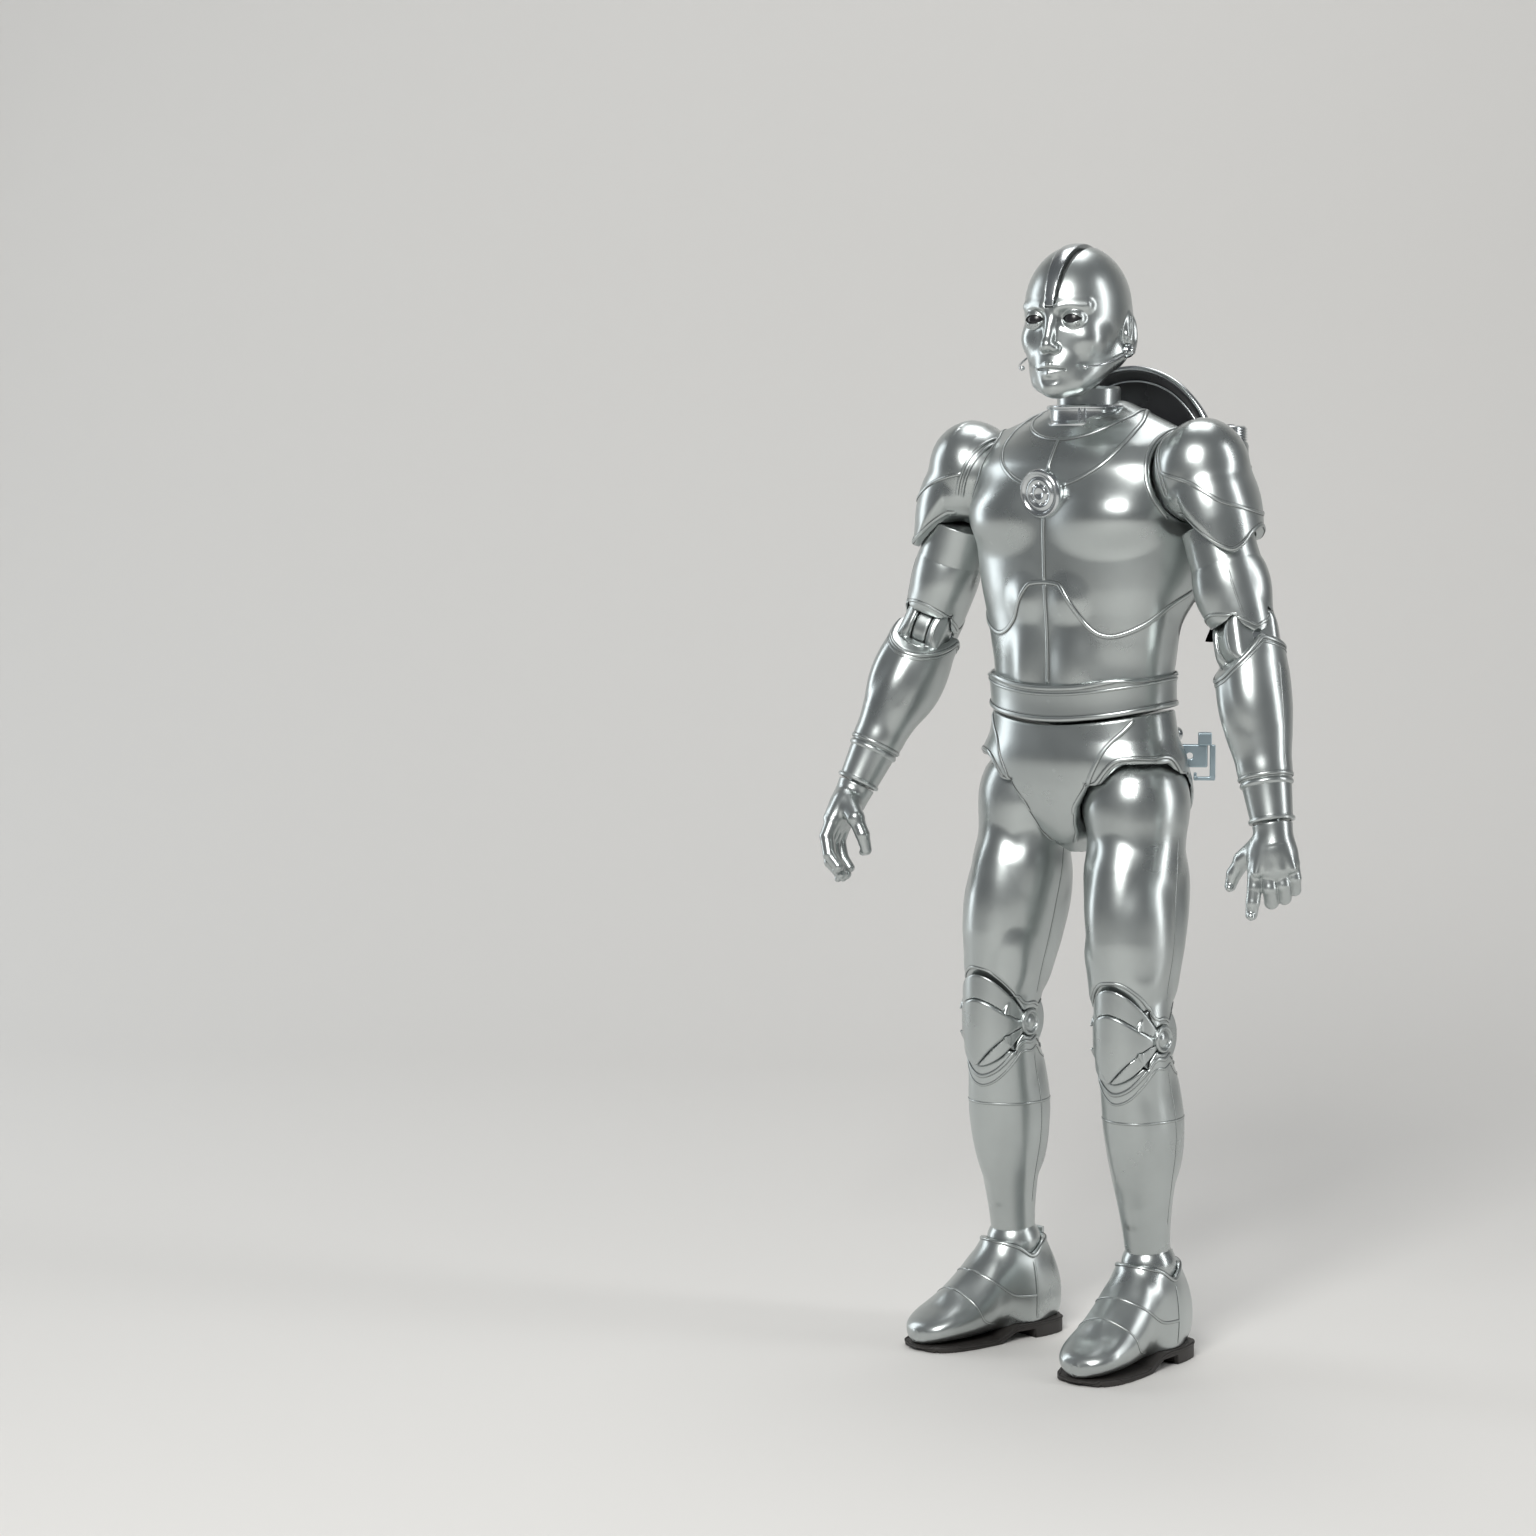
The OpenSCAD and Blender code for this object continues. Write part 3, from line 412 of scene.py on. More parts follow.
def bead(f, points, w=0.6, tall=0.42, closed=False):
    """A raised line that follows the skin f, w half wide, with painted shadow along both its feet."""
    p = spline(points, 0.45, closed)
    p, n = settle(f, p)
    for _ in range(3):   # even out what settling bent
        if closed:
            p = (np.roll(p, 1, 0) + 2 * p + np.roll(p, -1, 0)) / 4
        else:
            p[1:-1] = (p[:-2] + 2 * p[1:-1] + p[2:]) / 4
    p, n = settle(f, p, 3)
    if closed:
        t = np.roll(p, -1, 0) - np.roll(p, 1, 0)
    else:
        t = np.gradient(p, axis=0)
    b = np.cross(n, t)
    b /= np.maximum(np.linalg.norm(b, axis=1), 1e-9)[:, None]
    m = len(p)
    ends = np.ones(m)
    if not closed:
        s = np.arange(m) / max(1.2 / (0.45 * FINE), 1)
        ends = np.clip(np.minimum(s, s[::-1]), 0, 1) ** 0.5
    across = np.array([-1.75, -1.3, -1.06, -0.92, -0.7, -0.36, 0, 0.36, 0.7, 0.92, 1.06, 1.3, 1.75]) * w
    rise = np.sqrt(np.clip(1 - (across / (w * 1.02)) ** 2, 0, 1)) * tall
    rise[[2, 10]] = -0.035
    rise[[1, 11]] = 0.02
    rise[[0, 12]] = -0.05
    # painted shadow across the bead: darkest at its feet, where it meets the skin
    dark = np.array([0, 0.55, 1, 0.85, 0.25, 0, 0, 0, 0.25, 0.85, 1, 0.55, 0.0])
    q = (p[:, None, :] + b[:, None, :] * across[None, :, None]).reshape(-1, 3)
    q, nn = settle(f, q, 3)
    q = q + nn * (rise[None, :] * np.where(rise > 0.021, ends[:, None], 1)).reshape(-1)[:, None]
    k = len(across)
    i, j = np.meshgrid(np.arange(m if closed else m - 1), np.arange(k - 1), indexing="ij")
    i, j = i.ravel(), j.ravel()
    i2 = (i + 1) % m
    quads = np.stack([i * k + j, i * k + j + 1, i2 * k + j + 1, i2 * k + j], 1)
    grid = q.reshape(m, k, 3)
    du = np.gradient(grid, axis=1)
    dv = (np.roll(grid, -1, 0) - np.roll(grid, 1, 0)) if closed else np.gradient(grid, axis=0)
    gn = np.cross(dv, du)
    gn /= np.maximum(np.linalg.norm(gn, axis=2), 1e-12)[..., None]
    if np.sum(gn.reshape(-1, 3) * nn, 1).mean() < 0:
        gn = -gn
    else:
        quads = quads[:, ::-1]
    return q, quads, gn.reshape(-1, 3), np.tile(dark, m) * np.repeat(ends, k)


def lathe(profile, turns=96, closed=False, smooth=24):
    """A turned shape about Z from (radius, height) points; edges sharper than smooth degrees stay crisp."""
    pr = np.asarray(profile, float)
    turns = int(turns / FINE)
    segs = list(zip(pr, np.vstack([pr[1:], pr[:1]]))) if closed else list(zip(pr[:-1], pr[1:]))
    nrm = []
    for a, b in segs:
        d = b - a
        nrm.append(np.array([d[1], -d[0]]) / max(np.linalg.norm(d), 1e-9))
    ang = around(turns)
    cs, sn = np.cos(ang), np.sin(ang)
    V, F, N = [], [], []
    k = 0
    lim = math.cos(math.radians(smooth))
    for s, (a, b) in enumerate(segs):
        if np.linalg.norm(b - a) < 1e-9:
            continue
        na = nb = nrm[s]
        prev = nrm[s - 1] if (s or closed) else None
        nxt = nrm[(s + 1) % len(segs)] if (s + 1 < len(segs) or closed) else None
        if prev is not None and prev @ nrm[s] > lim:
            na = unit(prev + nrm[s])
        if nxt is not None and nxt @ nrm[s] > lim:
            nb = unit(nxt + nrm[s])
        for (r, z), m in ((a, na), (b, nb)):
            V.append(np.stack([r * cs, r * sn, np.full(turns, z)], 1))
            N.append(np.stack([m[0] * cs, m[0] * sn, np.full(turns, m[1])], 1))
        i = np.arange(turns)
        i2 = (i + 1) % turns
        F.append(np.stack([k + i, k + i2, k + turns + i2, k + turns + i], 1))
        k += 2 * turns
    return np.concatenate(V), np.concatenate(F), np.concatenate(N)


def tube(points, r0, r1, sides=10):
    """A round wire through points that tapers from r0 to r1."""
    p = spline(points)
    t = np.gradient(p, axis=0)
    t /= np.linalg.norm(t, axis=1)[:, None]
    a = unit(np.cross(t[0], (0.31, 0.2, 0.93)))
    m = len(p)
    V, N, F = [], [], []
    ang = around(sides)
    for i, r in enumerate(np.linspace(r0, r1, m)):
        a = unit(a - (a @ t[i]) * t[i])
        b = np.cross(t[i], a)
        ring = np.cos(ang)[:, None] * a + np.sin(ang)[:, None] * b
        V.append(p[i] + ring * r)
        N.append(ring)
    for i in range(m - 1):
        for j in range(sides):
            j2 = (j + 1) % sides
            F.append((i * sides + j, i * sides + j2, (i + 1) * sides + j2, (i + 1) * sides + j))
    F.append(tuple(range(sides))[::-1])
    F.append(tuple((m - 1) * sides + j for j in range(sides)))
    return np.concatenate(V), F, np.concatenate(N)


def v_edge(n, r, deep, front, back, pivot=0):
    """Points round a limb with a V cut end: x, y, and the cut's height over the joint, round a pivot disc if any."""
    pts = []
    for a in around(n):
        y = -deep * math.sin(a)
        slope = max(-y * math.tan(math.radians(front)), y * math.tan(math.radians(back)))
        pts.append((r * math.cos(a), y, max(slope, math.sqrt(max(pivot**2 - y * y, 0)))))
    return pts


# ------------------------------------------------------------------ finishes


def finish_mat(name, base, metal, rough, tint=0.05, bump=0.04, scale=900, painted_shadow_and_edge_light=0.25, coat=0.0):
    """A painted or moulded surface: mottled colour and roughness, fine bump, painted shade in hollows and along bead
    feet, painted highlight on sharp edges.
    """
    m = bpy.data.materials.new(name)
    m.use_nodes = True
    nt = m.node_tree
    nt.nodes.clear()

    def node(kind, **kw):
        n = nt.nodes.new(kind)
        for k, v in kw.items():
            setattr(n, k, v)
        return n

    def link(a, b):
        nt.links.new(a, b)

    def mixer(a, b, fac, kind="MIX"):
        n = node("ShaderNodeMix", data_type="RGBA", blend_type=kind)
        for sock, val in ((n.inputs["Factor"], fac), (n.inputs["A"], a), (n.inputs["B"], b)):
            if hasattr(val, "is_linked"):
                link(val, sock)
            else:
                sock.default_value = val
        return n.outputs["Result"]

    def ranged(src, a, b, c, d):
        n = node("ShaderNodeMapRange")
        link(src, n.inputs["Value"])
        for i, v in zip((1, 2, 3, 4), (a, b, c, d)):
            n.inputs[i].default_value = v
        return n.outputs["Result"]

    out = node("ShaderNodeOutputMaterial")
    bsdf = node("ShaderNodeBsdfPrincipled")
    link(bsdf.outputs[0], out.inputs[0])
    tex = node("ShaderNodeTexCoord")
    broad = node("ShaderNodeTexNoise")
    broad.inputs["Scale"].default_value = scale * 0.06
    broad.inputs["Detail"].default_value = 4
    link(tex.outputs["Object"], broad.inputs["Vector"])
    fine = node("ShaderNodeTexNoise")
    fine.inputs["Scale"].default_value = scale
    fine.inputs["Detail"].default_value = 3
    link(tex.outputs["Object"], fine.inputs["Vector"])
    dark = tuple(c * (1 - tint * 1.6) for c in base) + (1,)
    lite = tuple(min(c * (1 + tint), 1) for c in base) + (1,)
    col = mixer(dark, lite, ranged(broad.outputs["Fac"], 0.3, 0.7, 0, 1))
    geo = node("ShaderNodeNewGeometry")
    # painted shade: concave places (low pointiness) are darkened towards a deep tone of the base colour
    painted_hollow_shade = ranged(geo.outputs["Pointiness"], 0.40, 0.485, 1, 0)
    col = mixer(col, tuple(c * 0.28 for c in base) + (1,), ranged(painted_hollow_shade, 0, 1, 0, 0.5))
    # painted shadow: the per-vertex value darkens the colour to near black and roughens it
    painted_shadow = node("ShaderNodeAttribute", attribute_name="painted_shadow")
    col = mixer(col, tuple(c * 0.10 for c in base) + (1,), ranged(painted_shadow.outputs["Fac"], 0.1, 1, 0, 0.88))
    # painted highlight: sharp outer edges (high pointiness) are lightened towards a brighter tone of the base colour
    if painted_shadow_and_edge_light:
        edge = ranged(geo.outputs["Pointiness"], 0.53, 0.60, 0, painted_shadow_and_edge_light)
        col = mixer(col, tuple(min(c * 1.28, 1) for c in base) + (1,), edge)
    link(col, bsdf.inputs["Base Color"])
    r = ranged(broad.outputs["Fac"], 0.3, 0.72, rough * 0.86, rough * 1.16)
    mix = node("ShaderNodeMath", operation="ADD")
    link(r, mix.inputs[0])
    link(ranged(painted_shadow.outputs["Fac"], 0, 1, 0, 0.3), mix.inputs[1])
    link(mix.outputs[0], bsdf.inputs["Roughness"])
    bsdf.inputs["Metallic"].default_value = metal
    if coat:
        bsdf.inputs["Coat Weight"].default_value = coat
        bsdf.inputs["Coat Roughness"].default_value = 0.16
    bp = node("ShaderNodeBump")
    bp.inputs["Strength"].default_value = bump
    bp.inputs["Distance"].default_value = 0.0002
    link(fine.outputs["Fac"], bp.inputs["Height"])
    link(bp.outputs["Normal"], bsdf.inputs["Normal"])
    return m


SILVER = finish_mat("silver_skin", (0.50, 0.535, 0.53), 0.92, 0.30, painted_shadow_and_edge_light=0.3, coat=0.15)
BRIGHT = finish_mat("bright_trim", (0.62, 0.65, 0.66), 1.0, 0.22, painted_shadow_and_edge_light=0.3)
STEEL = finish_mat("clip_steel", (0.42, 0.52, 0.57), 0.9, 0.34, painted_shadow_and_edge_light=0.4)
BLACK = finish_mat("black_gloss", (0.018, 0.018, 0.02), 0.0, 0.27, bump=0.03, painted_shadow_and_edge_light=0.0, coat=0.2)
SOLE = finish_mat("sole_rubber", (0.03, 0.027, 0.025), 0.0, 0.55, bump=0.2, scale=600, painted_shadow_and_edge_light=0.0)
DARK = finish_mat("dark_joint", (0.07, 0.072, 0.075), 0.2, 0.42, bump=0.06, painted_shadow_and_edge_light=0.0)


SLOTS = {"silver_skin": "silver_paint", "bright_trim": "bright_metal", "clip_steel": "bright_metal",
         "black_gloss": "black_plastic", "sole_rubber": "black_plastic", "dark_joint": "dark_plastic"}

# ------------------------------------------------------------------ trunk

sh_p, _ = joint("shoulder_swing")
hip_p, _ = joint("hip_swing")


def sym(p):
    """Folds both sides onto the left one."""
    q = p.copy()
    q[:, 0] = np.abs(q[:, 0])
    return q


torso_loft = Loft([
    [166, 0, 0, 26.4, 16.2, 15, 2.2], [178, 0, 0, 26.8, 16.3, 14.8, 2.2], [186, 0, 0, 27.2, 16.2, 14.6, 2.25],
    [193, 0, 0, 28.2, 16.5, 14.6, 2.3], [200, 0, 0, 29.6, 17, 15.2, 2.3], [208, 0, 0, 31.2, 17.8, 16.2, 2.35],
    [216, 0, 0, 32.2, 18.2, 17.2, 2.4], [224, 0, 0, 33, 18.5, 17.8, 2.45], [232, 0, 0, 33.1, 18.4, 18.2, 2.45],
    [239, 0, 0, 32.3, 17, 18.2, 2.4], [244.5, 0, 0.5, 29.6, 14.4, 17.2, 2.3], [248.5, 0, 1, 24.5, 11.6, 15.6, 2.15],
    [251.5, 0, 1.4, 18, 10.2, 13.6, 2], [253.5, 0, 1.4, 12.5, 9.2, 11.8, 2], [255, 0, 1.4, 8, 8, 9, 2]])


def torso_f(p, bare=False):
    q = sym(p)
    f = torso_loft(p)
    f = with_eggs(f, q, ((14, -8.4, 226.8), (16.6, 12.3, 11.6), 3.2), ((7.2, -7.6, 188), (8.2, 9.4, 15), 3.2),
                        ((6.6, -8.2, 205), (7.6, 9.8, 8), 3.2), ((22.5, 6, 220), (11.2, 12.6, 20), 5),
                        ((12.5, 9.5, 228), (12.5, 11.2, 15), 4), ((7.5, 6.5, 192), (7.6, 10, 16), 3))
    f = smin(f, stick(q, (7.5, 5, 248.8), (27, 2.2, 242), 8.4, 7.8), 3.5)
    if bare:
        return f
    f = smax(f, -(ball(q, sh_p, 13.42)), 0.9)
    w = WAIST.into(p)
    return smax(f, (bowl(w) + 0.2 - w[:, 2]) * 0.965, 0.5)


torso = Build().skin(torso_f, (-35, -23, 167), (35, 23, 259), 0.48)
RIB = [(31, 5, 207.5), (30.2, -3, 203), (26.4, -9.5, 197.8), (18.6, -14.6, 194.9), (12.4, -16.8, 198.2),
       (6.2, -18, 207.3), (3.6, -18.4, 208.9)]
torso.bead(torso_f, [(-x, y, z) for x, y, z in RIB] + RIB[::-1], w=0.62, tall=0.42)
torso.bead_pair(torso_f, [(31, 5, 207.5), (27, 12, 208), (18, 17, 204), (8, 17.5, 199.5), (0, 16.5, 198)],
                w=0.55, tall=0.36)
torso.bead_pair(torso_f,
                [(17, 5, 256), (20.2, -3, 251.5), (20, -11, 246), (17, -15.5, 241), (12, -18.2, 237.6),
                 (6.2, -19.4, 235.2)], w=0.6, tall=0.4)
torso.bead_pair(torso_f, [(17, 5, 256), (13, 12, 253), (6, 16.5, 249), (0, 17.5, 247.5)], w=0.6, tall=0.4)
torso.bead(torso_f, [(0, -19.5, 226.5), (0, -18.5, 218), (0, -17.8, 209)], w=0.55, tall=0.4)
torso.bead(torso_f, [(0, -18, 208.8), (0, -17, 200), (0, -16.5, 190), (0, -16.3, 182)], w=0.55, tall=0.4)
torso.bead(torso_f, [(0.4, -18.5, 239), (0.3, -15, 243.5), (0, -11.5, 247.5)], w=0.55, tall=0.4)
ring = [(13.6 * math.sin(t), 1 - 12.4 * math.cos(t), 248.5 - 2.2 * math.cos(t)) for t in around(24)]
torso.bead(torso_f, ring, w=0.55, tall=0.38, closed=True)
for s in (1, -1):   # piping round the armholes
    c = sh_p * [s, 1, 1]
    arc = np.array([c + [-s * 9, 12 * math.sin(t), 12 * math.cos(t)] for t in np.linspace(-2.7, 2.7, 40)])
    for _ in range(8):
        arc = settle(lambda p: torso_f(p, True), arc, 2)[0]
        arc = c + (arc - c) / np.linalg.norm(arc - c, axis=1)[:, None] * 14.7
    torso.bead(torso_f, arc, w=0.5, tall=0.36)
torso.bead_pair(torso_f, [(29, 10, 208), (28, 10, 198), (26.4, 8, 186)], w=0.3, tall=0.12)
torso.make("chest_shell", "torso", ["chest_front", "chest_back"], SILVER)

belt_loft = Loft([[-1, 0, 0, 28.1, 17.5, 16.4, 2.2], [5, 0, 0, 27.9, 17.3, 16.2, 2.2],
                  [11.4, 0, 0, 28.2, 17.5, 16.3, 2.2]])


def belt_f(p):
    w = WAIST.into(p)
    f = belt_loft(w)
    f = smax(f, -(belt_loft(w) + 2.2), 0.3)
    return smax(f, (np.abs(w[:, 2] - bowl(w) - 5) - 4.9) * 0.965, 0.45)


belt = Build().skin(belt_f, (-30, -21, 169), (30, 20, 190), 0.45)
for z, w in ((0.9, 0.72), (9.1, 0.72), (7.5, 0.36)):
    loop = [np.array([28.4 * math.sin(t), -17.4 * math.cos(t), z]) for t in around(40)]
    loop = [WAIST.out(q + [0, 0, bowl(q)]) for q in loop]
    belt.bead(belt_f, loop, w=w, tall=0.5 * w + 0.1, closed=True)
belt.make("belt_band", "torso", "belt", SILVER)

spig = Build(WAIST).lathe([(0, -10.4), (6, -10.4), (6, 7.4), (0, 7.4)], 48)
spig.make("waist_peg", "torso", "waist_spigot", DARK)

neck_o = np.array([0, NECK_Y, 0])
col = Build().lathe([(0, 249), (8.55, 249), (8.5, 257), (8.6, 260.3), (8.2, 261), (0, 261)], o=neck_o)
col.make("neck_post", "torso", "neck_column", SILVER)
band = [(8.4, 250.2), (10.8, 250.2), (11.3, 250.5), (11.4, 250.9), (11.2, 251.3), (10.8, 251.55), (10.6, 251.9),
        (10.55, 254.3), (10.7, 254.8), (11.15, 255), (11.3, 255.4), (11.1, 255.8), (10.7, 256.05), (9.6, 256.1),
        (8.6, 255.8)]
collar = Build().lathe(band, 128, o=neck_o)
for a in (24, 32):   # edges of the clasp
    clip = rot("z", a)
    v, q, n = skin(lambda p: block(p, (0, -10.75, 253.1), (0.35, 0.45, 2.3), 0.25), (-1, -11.4, 250),
                   (1, -9.6, 256), 0.16)
    collar.add(v @ clip.T + neck_o, q, n @ clip.T)
collar.make("neck_collar_band", "torso", "neck_collar", BRIGHT)

rings = [(0, 0.95), (0.9, 0.95), (1.3, 1.25), (1.75, 1.3), (2.1, 1.1), (2.5, 0.85), (3.0, 0.9), (3.4, 1.3),
         (3.8, 1.35), (4.2, 1.1), (4.6, 0.85), (5.0, 0.95), (5.4, 1.4), (5.95, 1.45), (6.4, 1.1), (6.6, 0.5),
         (6.6, -0.6), (0, -0.8)]
med = Build(Place(rot("x", 98), (0, -19.3, 232.6))).lathe(rings[::-1], 120, smooth=40)
for a in range(0, 360, 45):   # small pips on the middle ring
    t = math.radians(a)
    v, q, n = skin(lambda p: ball(p, (0, 0, 0), 0.42), (-0.6,) * 3, (0.6,) * 3, 0.12)
    med.add(v + [2.75 * math.cos(t), 2.75 * math.sin(t), 0.95], q, n)
med.make("medallion", "torso", "chest_medallion", BRIGHT)


def screws(name, body, node, spots, y):
    """Cross-slotted screw heads let into the back."""
    b = Build()

    def f(p):
        d = smax(np.hypot(p[:, 0], p[:, 2]) - 2, np.abs(p[:, 1]) - 0.8, 0.25)
        cross = np.minimum(np.maximum(np.abs(p[:, 0]) - 0.3, np.abs(p[:, 2]) - 1.4),
                           np.maximum(np.abs(p[:, 2]) - 0.3, np.abs(p[:, 0]) - 1.4))
        return smax(d, -np.maximum(cross, 0.1 - p[:, 1]), 0.08)
    v, q, n = skin(f, (-2.2, -1, -2.2), (2.2, 1, 2.2), 0.16)
    for x, z in spots:
        b.add(v + [x, y, z], q, n)
    b.make(name, body, node, BRIGHT)


# ------------------------------------------------------------------ pack

DISH = Place(rot("x", -90), (0, 0, 238))
bowl_wall = [(12, 26.4), (12, 24), (16, 23.8), (20, 23.3), (22.6, 22.6), (25, 21.6), (26.9, 19.95),
             (27.7, 19.7), (27.9, 20.1), (27.6, 20.9), (26, 22.5), (23.6, 23.7), (21, 24.6), (17, 26.4)]
dish = Build(DISH).lathe(bowl_wall, 128)
dish.lathe([(0, 24.2), (11.8, 24.2), (12.2, 23.9), (11.8, 23.6), (11, 23.6), (10.6, 23.9), (0, 23.9)][::-1])
dish.make("pack_dish_shell", "torso", "pack_dish", BLACK)
rim = Build(DISH)
for r, y, w in ((28.35, 20.15, 0.72), (27.75, 21.75, 0.62), (24.9, 21.2, 0.34)):
    rim.lathe([(r + w * math.cos(a), y + w * math.sin(a)) for a in around(16)], 144, closed=True, smooth=60)
rim.make("pack_rim_rings", "torso", "pack_rim", BRIGHT)


def pack_f(p):
    f = block(p, (0, 30.6, 224.5), (19, 4.1, 21.6), 1.4)
    f = np.minimum(f, block(p, (0, 22, 223), (12, 5, 9.2), 1))
    f = smin(f, block(p, (0, 34.4, 226), (14.5, 1.1, 15), 0.8), 0.6)
    for z in (232, 224, 216):
        f = smax(f, -block(p, (0, 36.2, z), (10.5, 1.4, 1.1), 0.5), 0.3)
    return f


body = Build().skin(pack_f, (-20, 16, 202), (20, 36.5, 247), 0.45)
for x, z in ((-11.5, 208), (11.5, 208), (0, 242)):
    body.lathe([(0, -1), (3, -1), (3, 0), (2.8, 0.8), (2.2, 1.2), (0, 1.2)], 64, rot("x", -90),
               np.array([x, 34.8, z]))
body.make("pack_case", "torso", "pack_body", BLACK)

tank_lo, tank_hi = (np.array(c) * 1000 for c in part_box("pack_tanks"))
TX, TY, TR = tank_hi[0] - 6, (tank_lo[1] + tank_hi[1]) / 2, 6.0
T0, T1 = tank_lo[2], tank_hi[2]
tanks, caps, noz, bands = Build(), Build(), Build(), Build()
for s in (1, -1):
    o = np.array([s * TX, TY, 0])
    bottle = [(0, T0), (3.4, T0), (4.8, T0 + 0.5), (5.6, T0 + 1.5), (TR - 0.05, T0 + 3.2),
              (TR - 0.05, T1 - 1.2), (5.6, T1 - 0.3), (5.2, T1), (0, T1)]
    tanks.lathe(bottle, o=o, smooth=30)
    prof = [(5.1, T1 - 0.4)]
    for k in range(5):
        z = T1 + 0.1 + k * 0.72
        prof += [(5.1, z), (5.55, z + 0.1), (5.55, z + 0.42), (5.1, z + 0.52)]
    prof += [(5.2, T1 + 3.8), (4.7, T1 + 4.1), (2.2, T1 + 4.2), (2.0, T1 + 4.5), (0, T1 + 4.5)]
    caps.lathe(prof, o=o)
    v, q, n = lathe([(0, T0), (3.6, T0 + 0.4), (4.2, T0), (3.5, T0 - 1.6), (3.3, T0 - 2.6), (3.9, T0 - 4.6),
                     (5, T0 - 7.4), (5.15, T0 - 8), (4.7, T0 - 8), (3.4, T0 - 5), (2.6, T0 - 2.8),
                     (0, T0 - 2.4)], 96, smooth=30)
    noz.add(v + o, [tuple(k)[::-1] for k in q], n)
    for z in (211, 236):
        def band_f(p, z=z):
            r = np.hypot(p[:, 0] - s * TX, p[:, 1] - TY)
            f = smax(np.abs(r - TR - 0.3) - 0.55, np.abs(p[:, 2] - z - 2) - 2, 0.3)
            return smax(f, 24.7 - p[:, 1], 0.3)
        bands.skin(band_f, (s * TX - 7.2, TY - 7.2, z - 0.4), (s * TX + 7.2, TY + 7.2, z + 4.4), 0.35)
tanks.make("tank_bottles", "torso", "pack_tanks", SILVER)
caps.make("tank_top_caps", "torso", "tank_caps", BRIGHT)
noz.make("tank_nozzle_cones", "torso", "tank_nozzles", DARK)
bands.make("tank_bands", "torso", "pack_bands", BLACK)
screws("chest_screw_heads", "torso", "chest_screws",
       [(s * x, z) for s in (1, -1) for x, z in ((17, 228), (14, 188.5))], 17.2)

# ------------------------------------------------------------------ pelvis

pelvis_loft = Loft([[136.2, 0, 0.5, 3.2, 5.2, 6.6, 2], [139, 0, 0, 8, 9.2, 11.6, 2],
                    [144, 0, 0, 17.5, 12.9, 15.4, 2.1], [150, 0, 0, 26.5, 15.6, 17.2, 2.2],
                    [156, 0, 0, 30.4, 17.2, 17.8, 2.3], [162, 0, 0, 30.8, 17.9, 17.4, 2.3],
                    [168, 0, 0, 28.5, 17.3, 16.4, 2.2], [176, 0, 0, 27, 16.8, 15.4, 2.2]])


def opening(x, y):
    """Height of the edge of a leg opening."""
    return smin(136 + (x - 1.7) * 1.327, 161.6 - 0.85 * np.maximum(y + 2.5, 0), 3)


def pelvis_f(p):
    q = sym(p)
    f = pelvis_loft(p)
    f = smin(f, egg(q, (13.5, 7.6, 152.5), (15, 12.4, 14.5)), 3.5)
    f = smax(f, -ball(q, hip_p, 15.15), 0.7)
    f = smax(f, (opening(q[:, 0], q[:, 1]) - q[:, 2]) * 0.66, 0.8)
    d = q - hip_p
    r = np.hypot(d[:, 1], d[:, 2])
    ang = np.degrees(np.arctan2(-d[:, 1], -d[:, 2]))
    x_in = np.interp(ang, [-75, -68, 40, 62, 84, 104], [-6, -11.8, -12, -11.2, -9.2, -5.5])
    up = (np.maximum(ang - 108, -72 - ang)) * math.pi / 180 * np.maximum(r, 4)
    f = smax(f, -np.maximum(np.maximum(x_in - d[:, 0], up), 8.5 - r), 0.8)
    w = WAIST.into(p)
    return smax(f, (w[:, 2] - bowl(w) + 0.55) * 0.965, 0.9)


pel = Build().skin(pelvis_f, (-33, -21, 134), (33, 22, 178), 0.45)
pel.bead_pair(pelvis_f,
              [(24, -9.6, 173.2), (21.6, -11.6, 170), (18.2, -14, 166), (15, -15.2, 160), (12, -15.5, 153.6),
               (9.8, -15, 149.4), (8.4, -14.2, 146.6)], w=0.58, tall=0.4)
rim = [(x, y, float(opening(np.array(x), np.array(y))) + 1.5) for x, y in ((3.2, -8), (6, -11), (9, -13.5),
        (12.5, -15.4), (16.5, -15.8), (20.5, -14.5), (24.5, -11.5), (28, -7.5), (30.2, -2.5), (30.4, 2),
        (29.4, 6))]
rim += [(27, 11, 150.5), (22, 15, 147), (15, 17.5, 143.4), (8, 16, 140.4), (4, 11, 139)]
pel.bead_pair(pelvis_f, rim, w=0.58, tall=0.4)
pel.bead(pelvis_f, [(0, 19, 170), (0, 19.5, 158), (0, 17, 146), (0, 10, 138)], w=0.35, tall=0.16)
pel.make("pelvis_shell", "pelvis", ["pelvis_front", "pelvis_back"], SILVER)
screws("pelvis_screw_heads", "pelvis", "pelvis_screws", [(20, 168), (-20, 168)], 14.2)

CLIP = Place(rot("z", 37), (24.4, 12.6, 162.5))


def plate_f(p):
    hole = smax(np.hypot(p[:, 0] - 1.2, p[:, 2]) - 0.9, np.abs(p[:, 1]) - 3, 0.1)
    return smax(block(p, (-0.6, 0, 0), (6.4, 0.85, 3.1), 0.35), -hole, 0.15)


def post_f(p):
    hole = smax(np.hypot(p[:, 0] - 5.2, p[:, 1]) - 0.95, 5.4 - p[:, 2], 0.1)
    head = smax(block(p, (5.2, 0, 4.6), (1.8, 1.9, 1.7), 0.35), -hole, 0.15)
    return smin(head, block(p, (5.2, 1.35, 0.2), (0.8, 0.55, 3.2), 0.2), 0.3)


def hook_f(p):
    f = smin(block(p, (7.3, 0, -1.4), (0.75, 0.85, 4.4), 0.3), block(p, (5.2, 0, -6.1), (2.8, 0.8, 0.5), 0.25), 0.4)
    return smin(f, block(p, (2.7, 0, -5.5), (0.4, 0.8, 1.0), 0.2), 0.3)


